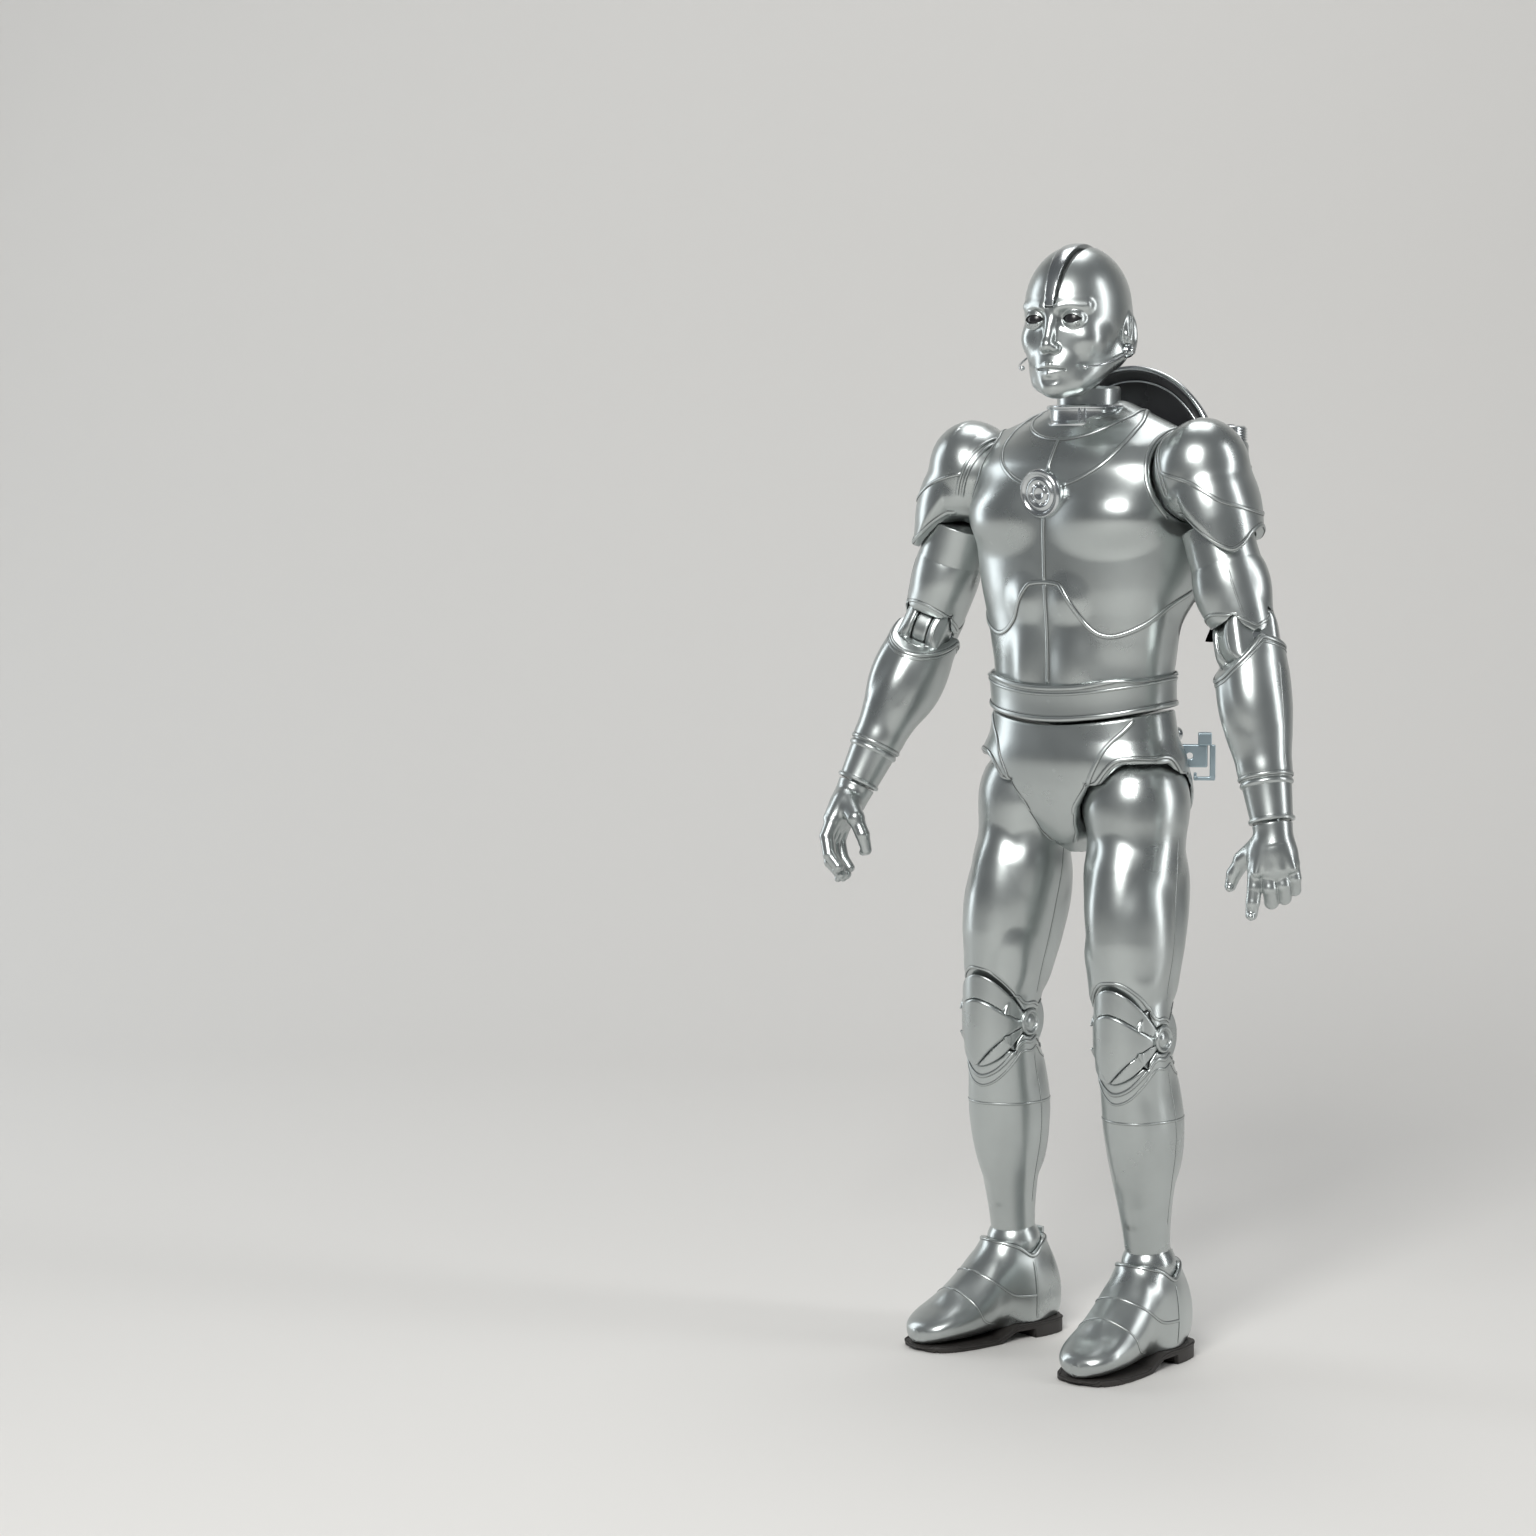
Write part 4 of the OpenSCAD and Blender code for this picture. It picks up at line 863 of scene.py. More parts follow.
b = Build(CLIP).skin(plate_f, (-7, -1.2, -3.5), (6.4, 1.2, 3.5), 0.2)
b.make("holster_plate", "pelvis", "hip_clip_plate", STEEL)
b = Build(CLIP).skin(post_f, (3, -2.3, -3.4), (7.4, 2.3, 6.8), 0.18)
b.make("holster_post", "pelvis", "hip_clip_bolt", STEEL)
b = Build(CLIP).skin(hook_f, (2, -1.2, -7), (8.4, 1.2, 3.4), 0.18)
b.make("holster_hook", "pelvis", "hip_clip_hook", STEEL)

# ------------------------------------------------------------------ arms

RAISE, SPREAD = (-4, 31), (-2, 22)   # travel of the shoulder raise and hip spread, in degrees
UPPER, FORE = 46, 48   # shoulder to elbow, elbow to wrist
ELBOW_V = (35, 14), (44, 12)   # cut of the upper arm and of the forearm: degrees in front and behind
KNEE_V = (54, 42)
KNEE_DRUM, DISC = 8.93, 3.5   # radii of the knee unit's drum and of its side discs


def slot_f(q, a0, a1, r):
    """The slot that lets a hub's stem swing between two angles above the inward direction."""
    ang = np.degrees(np.arctan2(q[:, 2], -q[:, 0]))
    off = np.radians(np.maximum(np.maximum(a0 - ang, ang - a1), 0))
    rad = np.hypot(q[:, 0], q[:, 2])
    side = np.where(off < 1.5, rad * np.sin(np.minimum(off, 1.5)), rad)
    return np.hypot(q[:, 1], side) - r


def hub(side, what, s, c, reach):
    """The ball in a shoulder or hip, with the stem that carries it."""
    def hub_f(p):
        stem = smax(np.hypot(p[:, 1] - c[1], p[:, 2] - c[2]) - 3.2,
                    np.abs(p[:, 0] - c[0] + reach / 2) - reach / 2, 0.2)
        return np.minimum(ball(p, c, 5), stem)

    b = Build(Place(side=s)).skin(hub_f, (c[0] - reach, c[1] - 5, c[2] - 5), (c[0] + 5, c[1] + 5, c[2] + 5), 0.45)
    b.make(what + "_hub_ball", what, what + "_hub", DARK, side=side)


angle, height = curve_table([[-3.2, -12], [-2.5, -13], [-1.8, -17.6], [-1.2, -20.4], [-0.6, -19.4],
                             [-0.3, -18.9], [0.15, -20.6], [0.48, -23.4], [0.74, -24.4], [0.98, -23],
                             [1.25, -19.4], [1.55, -15.4], [1.9, -12.6], [2.4, -11.8], [3.2, -12]])
EDGE = angle, height[:, 0]   # lower edge of a deltoid shell against the angle round the arm


def arm(s):
    side = "left_" if s > 0 else "right_"
    out, turn = (19, 25) if s > 0 else (20.5, 2)
    _, tw = joint("arm_twist", s)
    el_p, el_a = joint("elbow_bend", s)
    wr_p, wr_a = joint("wrist_turn", s)
    A = along(-tw, np.cross((0, 1, 0), -tw), sh_p, s)
    U = along(-tw, -el_a, sh_p, s)
    E = along(-wr_a, -el_a, el_p, s)
    H = Place(E.R @ rot("z", -turn), wr_p, s)
    hub(side, "shoulder", s, sh_p, 22)

    # deltoid shell with its armour
    shape = Loft([[-25.5, 0.3, -0.2, 10.4, 11, 10.8, 2], [-20, 0.2, -0.3, 11.6, 12.1, 11.8, 2],
                  [-14, 0.2, -0.4, 12.5, 12.8, 12.4, 2], [-7, 0.2, -0.3, 12.5, 12.6, 12.4, 2],
                  [-2, 0.1, 0, 12, 12, 12, 2], [2, 0, 0, 11.2, 11.4, 11.3, 2]])
    arm_r = rot("y", out + RAISE[0])

    def scallop(p):
        """Height of the shell's lower edge round the arm."""
        a = np.arctan2(-p[:, 1], p[:, 0])   # 0 outwards, a quarter turn at the front
        return np.interp(a, *EDGE)

    def cap_f(p):
        f = smin(ball(p, (0, 0, 0), 12.7), shape(p), 1.2)
        f = with_eggs(f, p, ((2.7, -2.2, -9), (9.7, 10.3, 13), 2), ((2.6, 3.2, -9), (9.2, 9.4, 12.5), 2),
                            ((0.9, -0.4, 1.7), (12.4, 12.6, 12.6), 1))
        f = smax(f, (scallop(p) - p[:, 2]) * 0.72, 0.5)
        x = (p @ arm_r)[:, 0]   # how far outside the shoulder when the arm is lowest
        limit = np.linalg.norm(p, axis=1) - np.interp(x, [-4.6, 1], [13.3, 14.8]) - np.maximum(x - 1, 0)
        f = smax(f, limit, 1.6)
        f = smax(f, -slot_f(p, out + RAISE[0], out + RAISE[1], 3.45), 0.2)
        f = np.maximum(f, -ball(p, (0, 0, 0), 5.1))
        return np.maximum(f, -np.maximum(from_z(p) - 9.45, p[:, 2] + 14.3))

    cap = Build(A).skin(cap_f, (-14, -14.5, -26), (15, 14.5, 14), 0.45)
    rim_pts = []
    for a in np.linspace(-2.5, 2.05, 56):
        c = np.array([[12 * math.cos(a), -12 * math.sin(a), 0.0]])
        rim_pts.append((c[0, 0], c[0, 1], scallop(c)[0] + 0.75))
    cap.bead(cap_f, rim_pts, w=0.6, tall=0.45)
    outline = [(12.6 * math.cos(a), -12.6 * math.sin(a), z) for a, z in ((1.92, 1.5), (1.6, -1), (1.26, -4.2),
            (1.0, -8), (0.73, -11.4), (0.2, -14.2), (-0.38, -15.2), (-0.9, -13.4), (-1.4, -8.5), (-1.9, -2.5))]
    cap.bead(cap_f, outline, w=0.5, tall=0.34)
    for x in (-5.2, -6.9):
        loop = [(x + 1.1 * math.sin(t), -12 * math.sin(t), 12 * math.cos(t) + 0.01) for t in np.linspace(-2, 2, 22)]
        cap.bead(cap_f, loop, w=0.45, tall=0.33)
    cap.make("deltoid_shell", "deltoid", "shoulder_cap", SILVER, side=side)

    # upper arm
    ua = Loft([[-48, 0, 0, 7.3, 6.8, 7.3, 2], [-44, 0, 0, 8, 7.7, 8.1, 2], [-37, 0, 0, 8.9, 8.9, 9, 2],
               [-30, 0, 0, 9.4, 9.6, 9.5, 2], [-25.2, 0, 0, 9.3, 9.5, 9.4, 2], [-14.8, 0, 0, 9.2, 9.2, 9.2, 2],
               [-12, 0, 0, 9.2, 9.2, 9.2, 2]])

    def upper_f(p):
        f = ua(p)
        f = with_eggs(f, p, ((-1, -3.6, -32), (7, 6.2, 9.5), 1.4), ((1.4, 3.6, -31), (7, 6.0, 10), 1.4))
        r = from_z(p)
        f = smax(f, (r - np.interp(p[:, 2], [-31, -25.2], [11.8, 9.3])) * 0.9, 0.5)
        q = p + [0, 0, UPPER]
        f = smax(f, -(drum(q, (0, 0, 0), 0, 8.5, 7.05)), 0.3)
        f = smax(f, -above_v(q, *ELBOW_V[0]), 1.2)
        f = np.minimum(f, smax(from_x(q) - 7.3, np.abs(q[:, 0]) - 2.05, 0.6))
        f = np.minimum(f, block(q, (0, 1, 7), (2.05, 3.6, 6.2), 0.2))
        f = np.maximum(f, 1.3 - from_x(q))
        return smax(f, p[:, 2] + 14.9, 0.2)

    up = Build(U).skin(upper_f, (-12, -13, -53), (12, 12, -14), 0.45)
    line = [(9.8 * math.cos(a), -9.8 * math.sin(a), z) for a, z in ((0.45, -27), (0.42, -33), (0.38, -38),
            (0.33, -42))]
    up.bead(upper_f, line, w=0.26, tall=0.1)
    ring = [(x, y, -UPPER + 2.2 + rise) for x, y, rise in v_edge(30, 8.8, 8.8, *ELBOW_V[0])]
    up.bead(upper_f, ring, w=0.4, tall=0.28, closed=True)
    up.make("upper_arm_shell", "upper_arm", "upper_arm", SILVER, side=side)

    # lobed elbow knuckle and its pin
    def knuckle_f(p):
        r = from_x(p)
        x = np.abs(p[:, 0])
        lobes = np.minimum(smax(r - 8.2, np.abs(x - 4.7) - 2.1, 1.3), smax(r - 7.4, x - 2.9, 0.5))
        f = smax(lobes, from_z(p) - 8.6, 0.8)
        neck = np.maximum(from_z(p) - 7.15, np.abs(p[:, 2] + 9.6) - 4.2)
        f = smin(f, np.maximum(neck, roof(p, *ELBOW_V[1])), 0.5)
        room = np.maximum(np.abs(p[:, 0]) - 2.4, np.maximum(-7.9 - p[:, 2], np.minimum(r - 7.65, -2.4 - p[:, 2])))
        f = smax(f, -room, 0.15)
        return np.maximum(f, 1.25 - r)

    kn = Build(E).skin(knuckle_f, (-8.8, -8.8, -14.2), (8.8, 8.8, 8.6), 0.3)
    arc = [(4.7, -8.2 * math.cos(t), 8.2 * math.sin(t)) for t in np.linspace(-0.9, 2.6, 16)]
    kn.bead_pair(knuckle_f, arc, w=0.22, tall=0.1)
    kn.make("elbow_block", "forearm", "elbow_knuckle", SILVER, side=side)
    rod = Build(E).lathe([(0, -6.3), (1.2, -6.3), (1.2, 6.3), (0, 6.3)], 32, rot("y", 90))
    rod.make("elbow_rod", "forearm", "elbow_pin", BRIGHT, side=side)

    # forearm cup
    fa = Loft([[-FORE, 0, 0, 5, 5, 5, 2], [-37.4, 0, 0, 5.5, 5.5, 5.5, 2], [-37, 0, 0, 6.7, 6.7, 6.7, 2],
               [-31, 0, 0, 7.4, 7.5, 7.4, 2], [-24, 0, 0, 8.7, 8.9, 8.6, 2], [-17, 0, 0, 9.6, 9.6, 9.5, 2],
               [-10, 0, 0, 9.8, 9.7, 9.8, 2], [-5, 0, 0, 9.5, 9.3, 9.6, 2], [3, 0, 0, 9.1, 8.9, 9.3, 2]])

    def forearm_f(p):
        f = fa(p)
        bulge = smin(egg(p, (4.4, -1.5, -14), (5.6, 7.2, 13)), egg(p, (-4, 2.2, -15), (6, 7, 13)), 1.5)
        f = smin(f, smin(bulge, egg(p, (0, -5, -16), (5, 4.9, 12)), 1.2), 1.2)
        f = smax(f, roof(p, *ELBOW_V[1]), 0.45)
        f = np.maximum(f, -np.maximum(from_z(p) - 7.22, -14 - p[:, 2]))
        return smax(f, -47.8 - p[:, 2], 0.2)

    fo = Build(E).skin(forearm_f, (-12, -12, -48.2), (12, 12, 4), 0.45)
    for k, w in ((-1.05, 0.55), (-2.3, 0.28)):
        ring = [(x, y, k - rise * 0.985) for x, y, rise in v_edge(36, 9.6, 9.6, *ELBOW_V[1])]
        fo.bead(forearm_f, ring, w=w, tall=0.75 * w, closed=True)
    fo.bead(forearm_f, [(8 * math.cos(a), -8 * math.sin(a), -36.4) for a in around(24)], w=0.5, tall=0.36,
            closed=True)
    fo.bead(forearm_f, [(8, 3.8, -8), (9.2, 3.6, -17), (7.6, 3.3, -27), (6, 3, -35)], w=0.26, tall=0.1)
    fo.make("forearm_shell", "forearm", "forearm", SILVER, side=side)

    prof = [(5.0, 0.05), (5.55, 0), (5.95, 0.15), (6.1, 0.6), (5.95, 1.05), (5.6, 1.25), (5.6, 1.6), (6.4, 9.3),
            (6.85, 9.65), (7.0, 10.1), (6.9, 10.5), (6.7, 10.85), (5.7, 11.1)]
    cuff = Build(E).lathe(prof, o=np.array([0, 0, -FORE]), smooth=35)
    cuff.make("wrist_cuff", "forearm", "cuff", SILVER, side=side)
    return H


def hand(s, H):
    side = "left_" if s > 0 else "right_"
    if s > 0:   # first finger pointing down, the others curled
        fingers = [[(-0.3, -5.6, -11), (-0.9, -6.6, -15.8), (-1.5, -7.6, -19.6), (-2.2, -8.4, -22.6)],
                   [(-0.2, -2.6, -11.8), (-0.6, -2.9, -16.6), (-4.2, -2.9, -19.8), (-7.4, -2.8, -18.4)],
                   [(-0.2, 0.6, -11.6), (-0.8, 0.6, -16.2), (-4.3, 0.5, -19.1), (-7.4, 0.4, -17.6)],
                   [(-0.4, 3.5, -11), (-1.1, 3.7, -14.8), (-4.2, 3.4, -17.4), (-6.8, 3.2, -16)]]
        thumb = [(-1.6, -4, -5.4), (-4.4, -8.6, -8), (-6.2, -11.4, -11), (-7, -12.8, -13.9)]
    else:       # open, curved as round a handle
        fingers = [[(0.0, -5.1, -12.4), (-0.6, -5.8, -17.4), (-3.6, -5.8, -21.6), (-7.4, -5.4, -23.6)],
                   [(0.2, -1.8, -13), (-0.4, -2.1, -18.6), (-3.6, -2.1, -23.2), (-7.8, -2.0, -25.2)],
                   [(0.2, 1.5, -12.8), (-0.4, 1.6, -18.2), (-3.8, 1.6, -22.6), (-7.8, 1.6, -24.4)],
                   [(-0.1, 4.4, -12.2), (-0.8, 4.7, -16.6), (-3.8, 4.7, -20.4), (-7.0, 4.5, -22.2)]]
        thumb = [(-1.4, -4.0, -6.4), (-6.2, -6.4, -9.4), (-10.0, -6.0, -12.8), (-12.4, -4.4, -16.2)]
    size = [(2.05, 1.95, 1.8, 1.55), (2.15, 2.0, 1.85, 1.6), (2.05, 1.95, 1.8, 1.55), (1.85, 1.75, 1.6, 1.4)]

    def hand_f(p):
        f = egg(p, (0.2, -0.8, -8.4), (3.8, 6.2, 6.8))
        f = smin(f, stick(p, (0, 0, -2.4), (0, -0.2, -6), 4.3, 4.4), 2.4)
        f = smin(f, stick(p, (-0.7, -3.2, -6), thumb[1], 3.1, 2.4), 2)
        for fin, r in zip(fingers, size):
            g = smin(stick(p, fin[0], fin[1], r[0] + 0.15, r[1]), stick(p, fin[1], fin[2], r[1], r[2]), 0.35)
            g = smin(g, stick(p, fin[2], fin[3], r[2], r[3]), 0.35)
            root = stick(p, (0, fin[0][1] * 0.86, -8.5), fin[0], 2.2, r[0] + 0.2)
            f = smin(f, root, 1.0)
            f = smin(f, g, 0.45)
        g = smin(stick(p, thumb[0], thumb[1], 2.9, 2.3), stick(p, thumb[1], thumb[2], 2.15, 2.0), 0.4)
        g = smin(g, stick(p, thumb[2], thumb[3], 1.95, 1.5), 0.35)
        f = smin(f, g, 1.0)
        for fin in fingers:   # tendons on the back of the hand
            f = smin(f, stick(p, (2.2, fin[0][1] * 0.45, -5), (1.8, fin[0][1], -12.6), 1.3, 1.1), 1.2)
        for fin, r in zip(fingers + [thumb], size + [(2, 2, 1.9, 1.5)]):   # nails
            a, b = np.array(fin[2]), np.array(fin[3])
            d = unit(b - a)
            back = np.array([1.0, 0, 0]) - d * d[0]
            c = b + unit(back) * (r[3] * 0.78) + d * 0.35
            f = smin(f, egg(p, c, (1.0, 1.0, 1.15)), 0.35)
        wrist = smax(from_z(p) - 5.2 + np.clip(-p[:, 2] - 1, 0, 9) * 0.12,
                     np.maximum(p[:, 2] + 0.4, -6 - p[:, 2]), 0.3)
        f = smin(f, wrist, 0.8)
        f = smax(f, p[:, 2] + 0.4, 0.25)
        return np.minimum(f, np.maximum(from_z(p) - 2.55, np.maximum(p[:, 2] - 7.3, -3 - p[:, 2])))

    h = Build(H).skin(hand_f, (-14.5, -14, -28), (6.5, 8.5, 7.6), 0.3)
    h.make("hand_shell", "hand", "hand", SILVER, side=side)


for s in (1, -1):
    hand(s, arm(s))

# ------------------------------------------------------------------ legs

thigh_loft = Loft([[-62.8, 0, 0, 10.1, 9.9, 9.7, 2], [-56, 0, 0, 10.2, 10.3, 9.9, 2],
                   [-48, 0, 0, 10.7, 11.5, 10.9, 2], [-38, 0, 0, 11.8, 13.6, 12.6, 2.1],
                   [-28, 0, 0, 12.6, 14.4, 13.8, 2.1], [-20, 0.3, 0, 12.7, 14, 14.2, 2.1],
                   [-13, 0.7, 0, 12.3, 12.7, 13.4, 2], [-7, 0.6, 0, 11.7, 12, 12.2, 2],
                   [-2, 0, 0, 11.4, 11.4, 11.4, 2], [4, 0, 0, 10, 10, 10, 2]])
shin_loft = Loft([[-61, 0, 0, 6, 6, 6, 2], [-56, 0, 0, 6.2, 6.3, 6.4, 2], [-48, 0, 0, 7, 7.1, 7.8, 2],
                  [-40, 0, 0, 8.3, 8, 9.8, 2], [-32, 0, 0, 9.4, 8.8, 11.6, 2], [-24, 0, 0, 9.9, 9.4, 12.4, 2],
                  [-16, 0, 0, 9.7, 9.6, 11.6, 2], [-8, 0, 0, 9.9, 9.9, 10.4, 2], [3, 0, 0, 10.1, 9.9, 9.7, 2]])


def knee_room(k):
    """The hollow in thigh and shin for the knee unit's drum and side discs."""
    return np.minimum(drum(k, (0, 0, 0), 0, KNEE_DRUM + 0.42, 8.45), drum(k, (0, 0, 0), 0, DISC + 0.4, 40))


def leg(s):
    side = "left_" if s > 0 else "right_"
    kp, _ = joint("knee_bend", s)
    ap, aa = joint("ankle_pitch", s)
    T = along(hip_p - kp, (1, 0, 0), hip_p, s)
    S = along(kp - ap, (1, 0, 0), kp, s)
    K = Place(np.eye(3), kp, s)
    F = Place(np.column_stack([-aa, np.cross((0, 0, 1), -aa), (0, 0, 1)]), ap, s)
    lean = math.degrees(math.asin(T.R[1, 2]))
    hub(side, "hip", s, hip_p, 17.3)
    to_knee = T.into(K.out([[0, 0, 0]]))[0]

    def thigh_f(p):
        f = smin(ball(p, (0, 0, 0), 14.2), thigh_loft(p), 6)
        f = with_eggs(f, p, ((0.8, -6.4, -31), (8.6, 9.9, 24), 2.2), ((5.4, -4.2, -36), (8, 9, 19), 1.8),
                            ((-5.2, -5.4, -45), (5.9, 7, 12), 1.6), ((5, 6.4, -32), (7.7, 8.4, 22), 2),
                            ((-4.6, 6.4, -33), (7.6, 8.2, 21), 2), ((-5.5, -1, -18), (7.4, 10, 16), 2))
        f = smax(f, smin(thigh_loft(p, 1.3), ball(p, (0, 0, 0), 14.5), 6), 1)
        k = (p - to_knee) @ T.R.T   # seen from the knee, square to the world
        f = smax(f, -knee_room(k), 0.3)
        f = smax(f, -above_v(k, *KNEE_V), 0.45)
        f = np.minimum(f, np.maximum(from_x(k) - 5.95, np.abs(k[:, 0]) - 2.15))
        f = np.minimum(f, block(k, (0, 0, 7.5), (2.15, 4.6, 7.8), 0.2))
        f = np.maximum(f, 1.7 - from_x(k))
        f = np.maximum(f, -ball(p, (0, 0, 0), 5.1))
        h = p @ T.R.T @ rot("x", -lean)
        return smax(f, -slot_f(h, SPREAD[0], SPREAD[1], 3.4), 0.2)

    th = Build(T).skin(thigh_f, (-16, -18, -70), (17, 18, 15), 0.48)
    seam = [(12, 1, -10), (13.2, 1, -20), (12.6, 1, -32), (11.4, 1, -44), (9.6, 1, -54)]
    th.bead_pair(thigh_f, seam, w=0.27, tall=0.11)
    ring = [T.R.T @ np.array([x, y, rise + 1.5]) + to_knee for x, y, rise in v_edge(40, 10.4, 10, *KNEE_V, 4)]
    th.bead(thigh_f, ring, w=0.42, tall=0.3, closed=True)
    th.make("thigh_shell", "thigh", "thigh", SILVER, side=side)

    # knee: drum with side discs, hood, and the follower plate in front
    kl = Loft([[-16, 0, 0, 9.3, 10, 9, 2], [-8, 0, 0, 9.6, 10.7, 9, 2], [0, 0, 0, 10, 11.2, 9, 2],
               [7, 0, 0, 10.1, 11.3, 9.3, 2], [15, 0, 0, 10.2, 11.2, 9.6, 2]])

    def lens(p):
        """Outline of the kneecap: an arch above, a blunt point below, corners at the pivots."""
        x, z = np.abs(p[:, 0]), p[:, 2]
        return smax((z - 6.4 + 0.066 * x * x) * 0.8, (1.12 * x - 11.9 - z) * 0.66, 1.6)

    def knee_f(p):
        r = from_x(p)
        x = np.abs(p[:, 0])
        f = smax(r - KNEE_DRUM, x - 8.1, 0.6)
        g = smax(kl(p), -(-np.abs(np.degrees(np.arctan2(p[:, 2], -p[:, 1]))) + 50.6) * math.pi / 180 * r, 0.8)
        f = smin(f, smax(g, p[:, 1], 0.3), 0.3)
        f = smax(f, -np.maximum(np.maximum(lens(p) - 0.12, -kl(p) - 0.75), p[:, 1] + 1.5), 0.2)
        f = smin(f, smax(r - DISC, x - 10.05, 0.3), 0.15)
        f = smin(f, np.hypot(r - DISC + 0.35, x - 10.1) - 0.5, 0.2)
        f = smin(f, egg(np.stack([x, p[:, 1], p[:, 2]], 1), (9.9, 0, 0), (0.8, 1.9, 1.9)), 0.2)
        f = np.maximum(f, -np.maximum(r - 6.45, x - 5.9))
        open_v = -((p[:, 1] + 5.2) * 0.737 + np.abs(p[:, 2]) * 0.676)   # room for the tongues to swing
        f = np.maximum(f, -np.maximum(np.maximum(x - 5.9, open_v), kl(p) + 2))
        return np.maximum(f, np.where(x < 9, 1.65 - r, -1))

    kn = Build(K).skin(knee_f, (-11, -12.5, -13), (11, 9.5, 13), 0.34)
    kn.make("knee_block", "knee", "knee_unit", SILVER, side=side)

    def cap_f(p):
        f = smax(kl(p) - 0.75 + 0.008 * p[:, 0] ** 2, lens(p), 0.55)
        f = smax(f, -kl(p) - 0.6, 0.1)
        return smax(f, p[:, 1] + 1.6, 0.15)

    kc = Build(K).skin(cap_f, (-10.5, -13, -13.5), (10.5, -1, 7.5), 0.3)
    kc.make("kneecap_plate", "knee", "kneecap", SILVER, "bright_metal", side=side)
    rod = Build(K).lathe([(0, -9.8), (1.2, -9.8), (1.6, -9.5), (1.6, 9.5), (1.2, 9.8), (0, 9.8)], 40, rot("y", 90))
    rod.make("knee_rod", "knee", "knee_pin", BRIGHT, side=side)

    # shin
    foot_c = S.into(F.out([[0, 0, 0]]))[0]

    def shin_f(p):
        f = shin_loft(p)
        f = with_eggs(f, p, ((3.9, 4.2, -24), (6.1, 9, 18), 1.5), ((-4.1, 4.3, -25.5), (6, 9, 19), 1.5),
                            ((1.2, -4.9, -26), (6.8, 5.2, 20), 1.4))
        f = smin(f, stick(p, (0, -7, -8), (0, -5.4, -50), 2.9, 1.4), 1.6)
        f = smax(f, shin_loft(p, 1.3), 1)
        k = p @ S.R.T
        f = smax(f, -knee_room(k), 0.3)
        f = smax(f, roof(k, *KNEE_V), 0.45)
        f = np.minimum(f, np.maximum(from_x(k) - 5.95, np.abs(np.abs(k[:, 0]) - 4.0) - 1.45))
        f = np.minimum(f, np.maximum(block(k, (0, 0, -7.5), (5.45, 4.6, 7.8), 0.2), 2.35 - np.abs(k[:, 0])))
        f = np.maximum(f, 1.7 - from_x(k))
        return np.minimum(f, ball(p, foot_c, 7.45))

    sh = Build(S).skin(shin_f, (-12, -13, -72), (12, 15, 4), 0.46)
    ring = np.array([S.R.T @ np.array([x, y, -rise - 1.5]) for x, y, rise in v_edge(40, 10, 10, *KNEE_V, 4)])
    sh.bead(shin_f, ring, w=0.5, tall=0.36, closed=True)
    sh.bead(shin_f, ring - [0, 0, 2.6], w=0.3, tall=0.2, closed=True)
    seam = [(9.5, 1.5, -9), (9.5, 2.6, -18), (8.93, 2.8, -28), (7.6, 2, -40), (6.27, 1, -52)]
    sh.bead_pair(shin_f, seam, w=0.26, tall=0.12)
    loop = [(9 * math.cos(a), -10 * math.sin(a) + 1, -22.8 + 1.1 * math.sin(a)) for a in around(36)]
    sh.bead(shin_f, loop, w=0.3, tall=0.16, closed=True)
    sh.make("shin_shell", "shin", "shin", SILVER, side=side)
    return F


# ------------------------------------------------------------------ boots

FOOT = [[13.4, 0, -17, 3.2, 6, 6.5, 2.2], [12, 0, -15.5, 6.4, 8.6, 9.5, 2.2], [8, 0, -12.8, 8.2, 11.4, 13, 2.2],
        [2, 0, -12, 8.9, 12.2, 13, 2.2], [-5, 0, -12, 8.9, 12.2, 13.2, 2.2],
        [-10, 0, -13.4, 8.9, 10.8, 11.8, 2.2], [-15, 0, -15.6, 9.3, 8.8, 8.8, 2.25],
        [-21, 0, -17.8, 9.5, 6.6, 6.3, 2.3], [-27, 0, -19.2, 9, 5.2, 4.6, 2.3],
        [-31, 0, -20.2, 7.6, 4.2, 3.4, 2.3], [-34, 0, -21, 4.6, 3.2, 2.2, 2.2],
        [-35, 0, -21.4, 1.6, 2.4, 1.2, 2]]
foot_loft = Loft(FOOT, axis=1)


def sole_top(y):
    return np.interp(y, [-40, -12, -5.5, 20], [-24.3, -24.3, -21.6, -21.6])


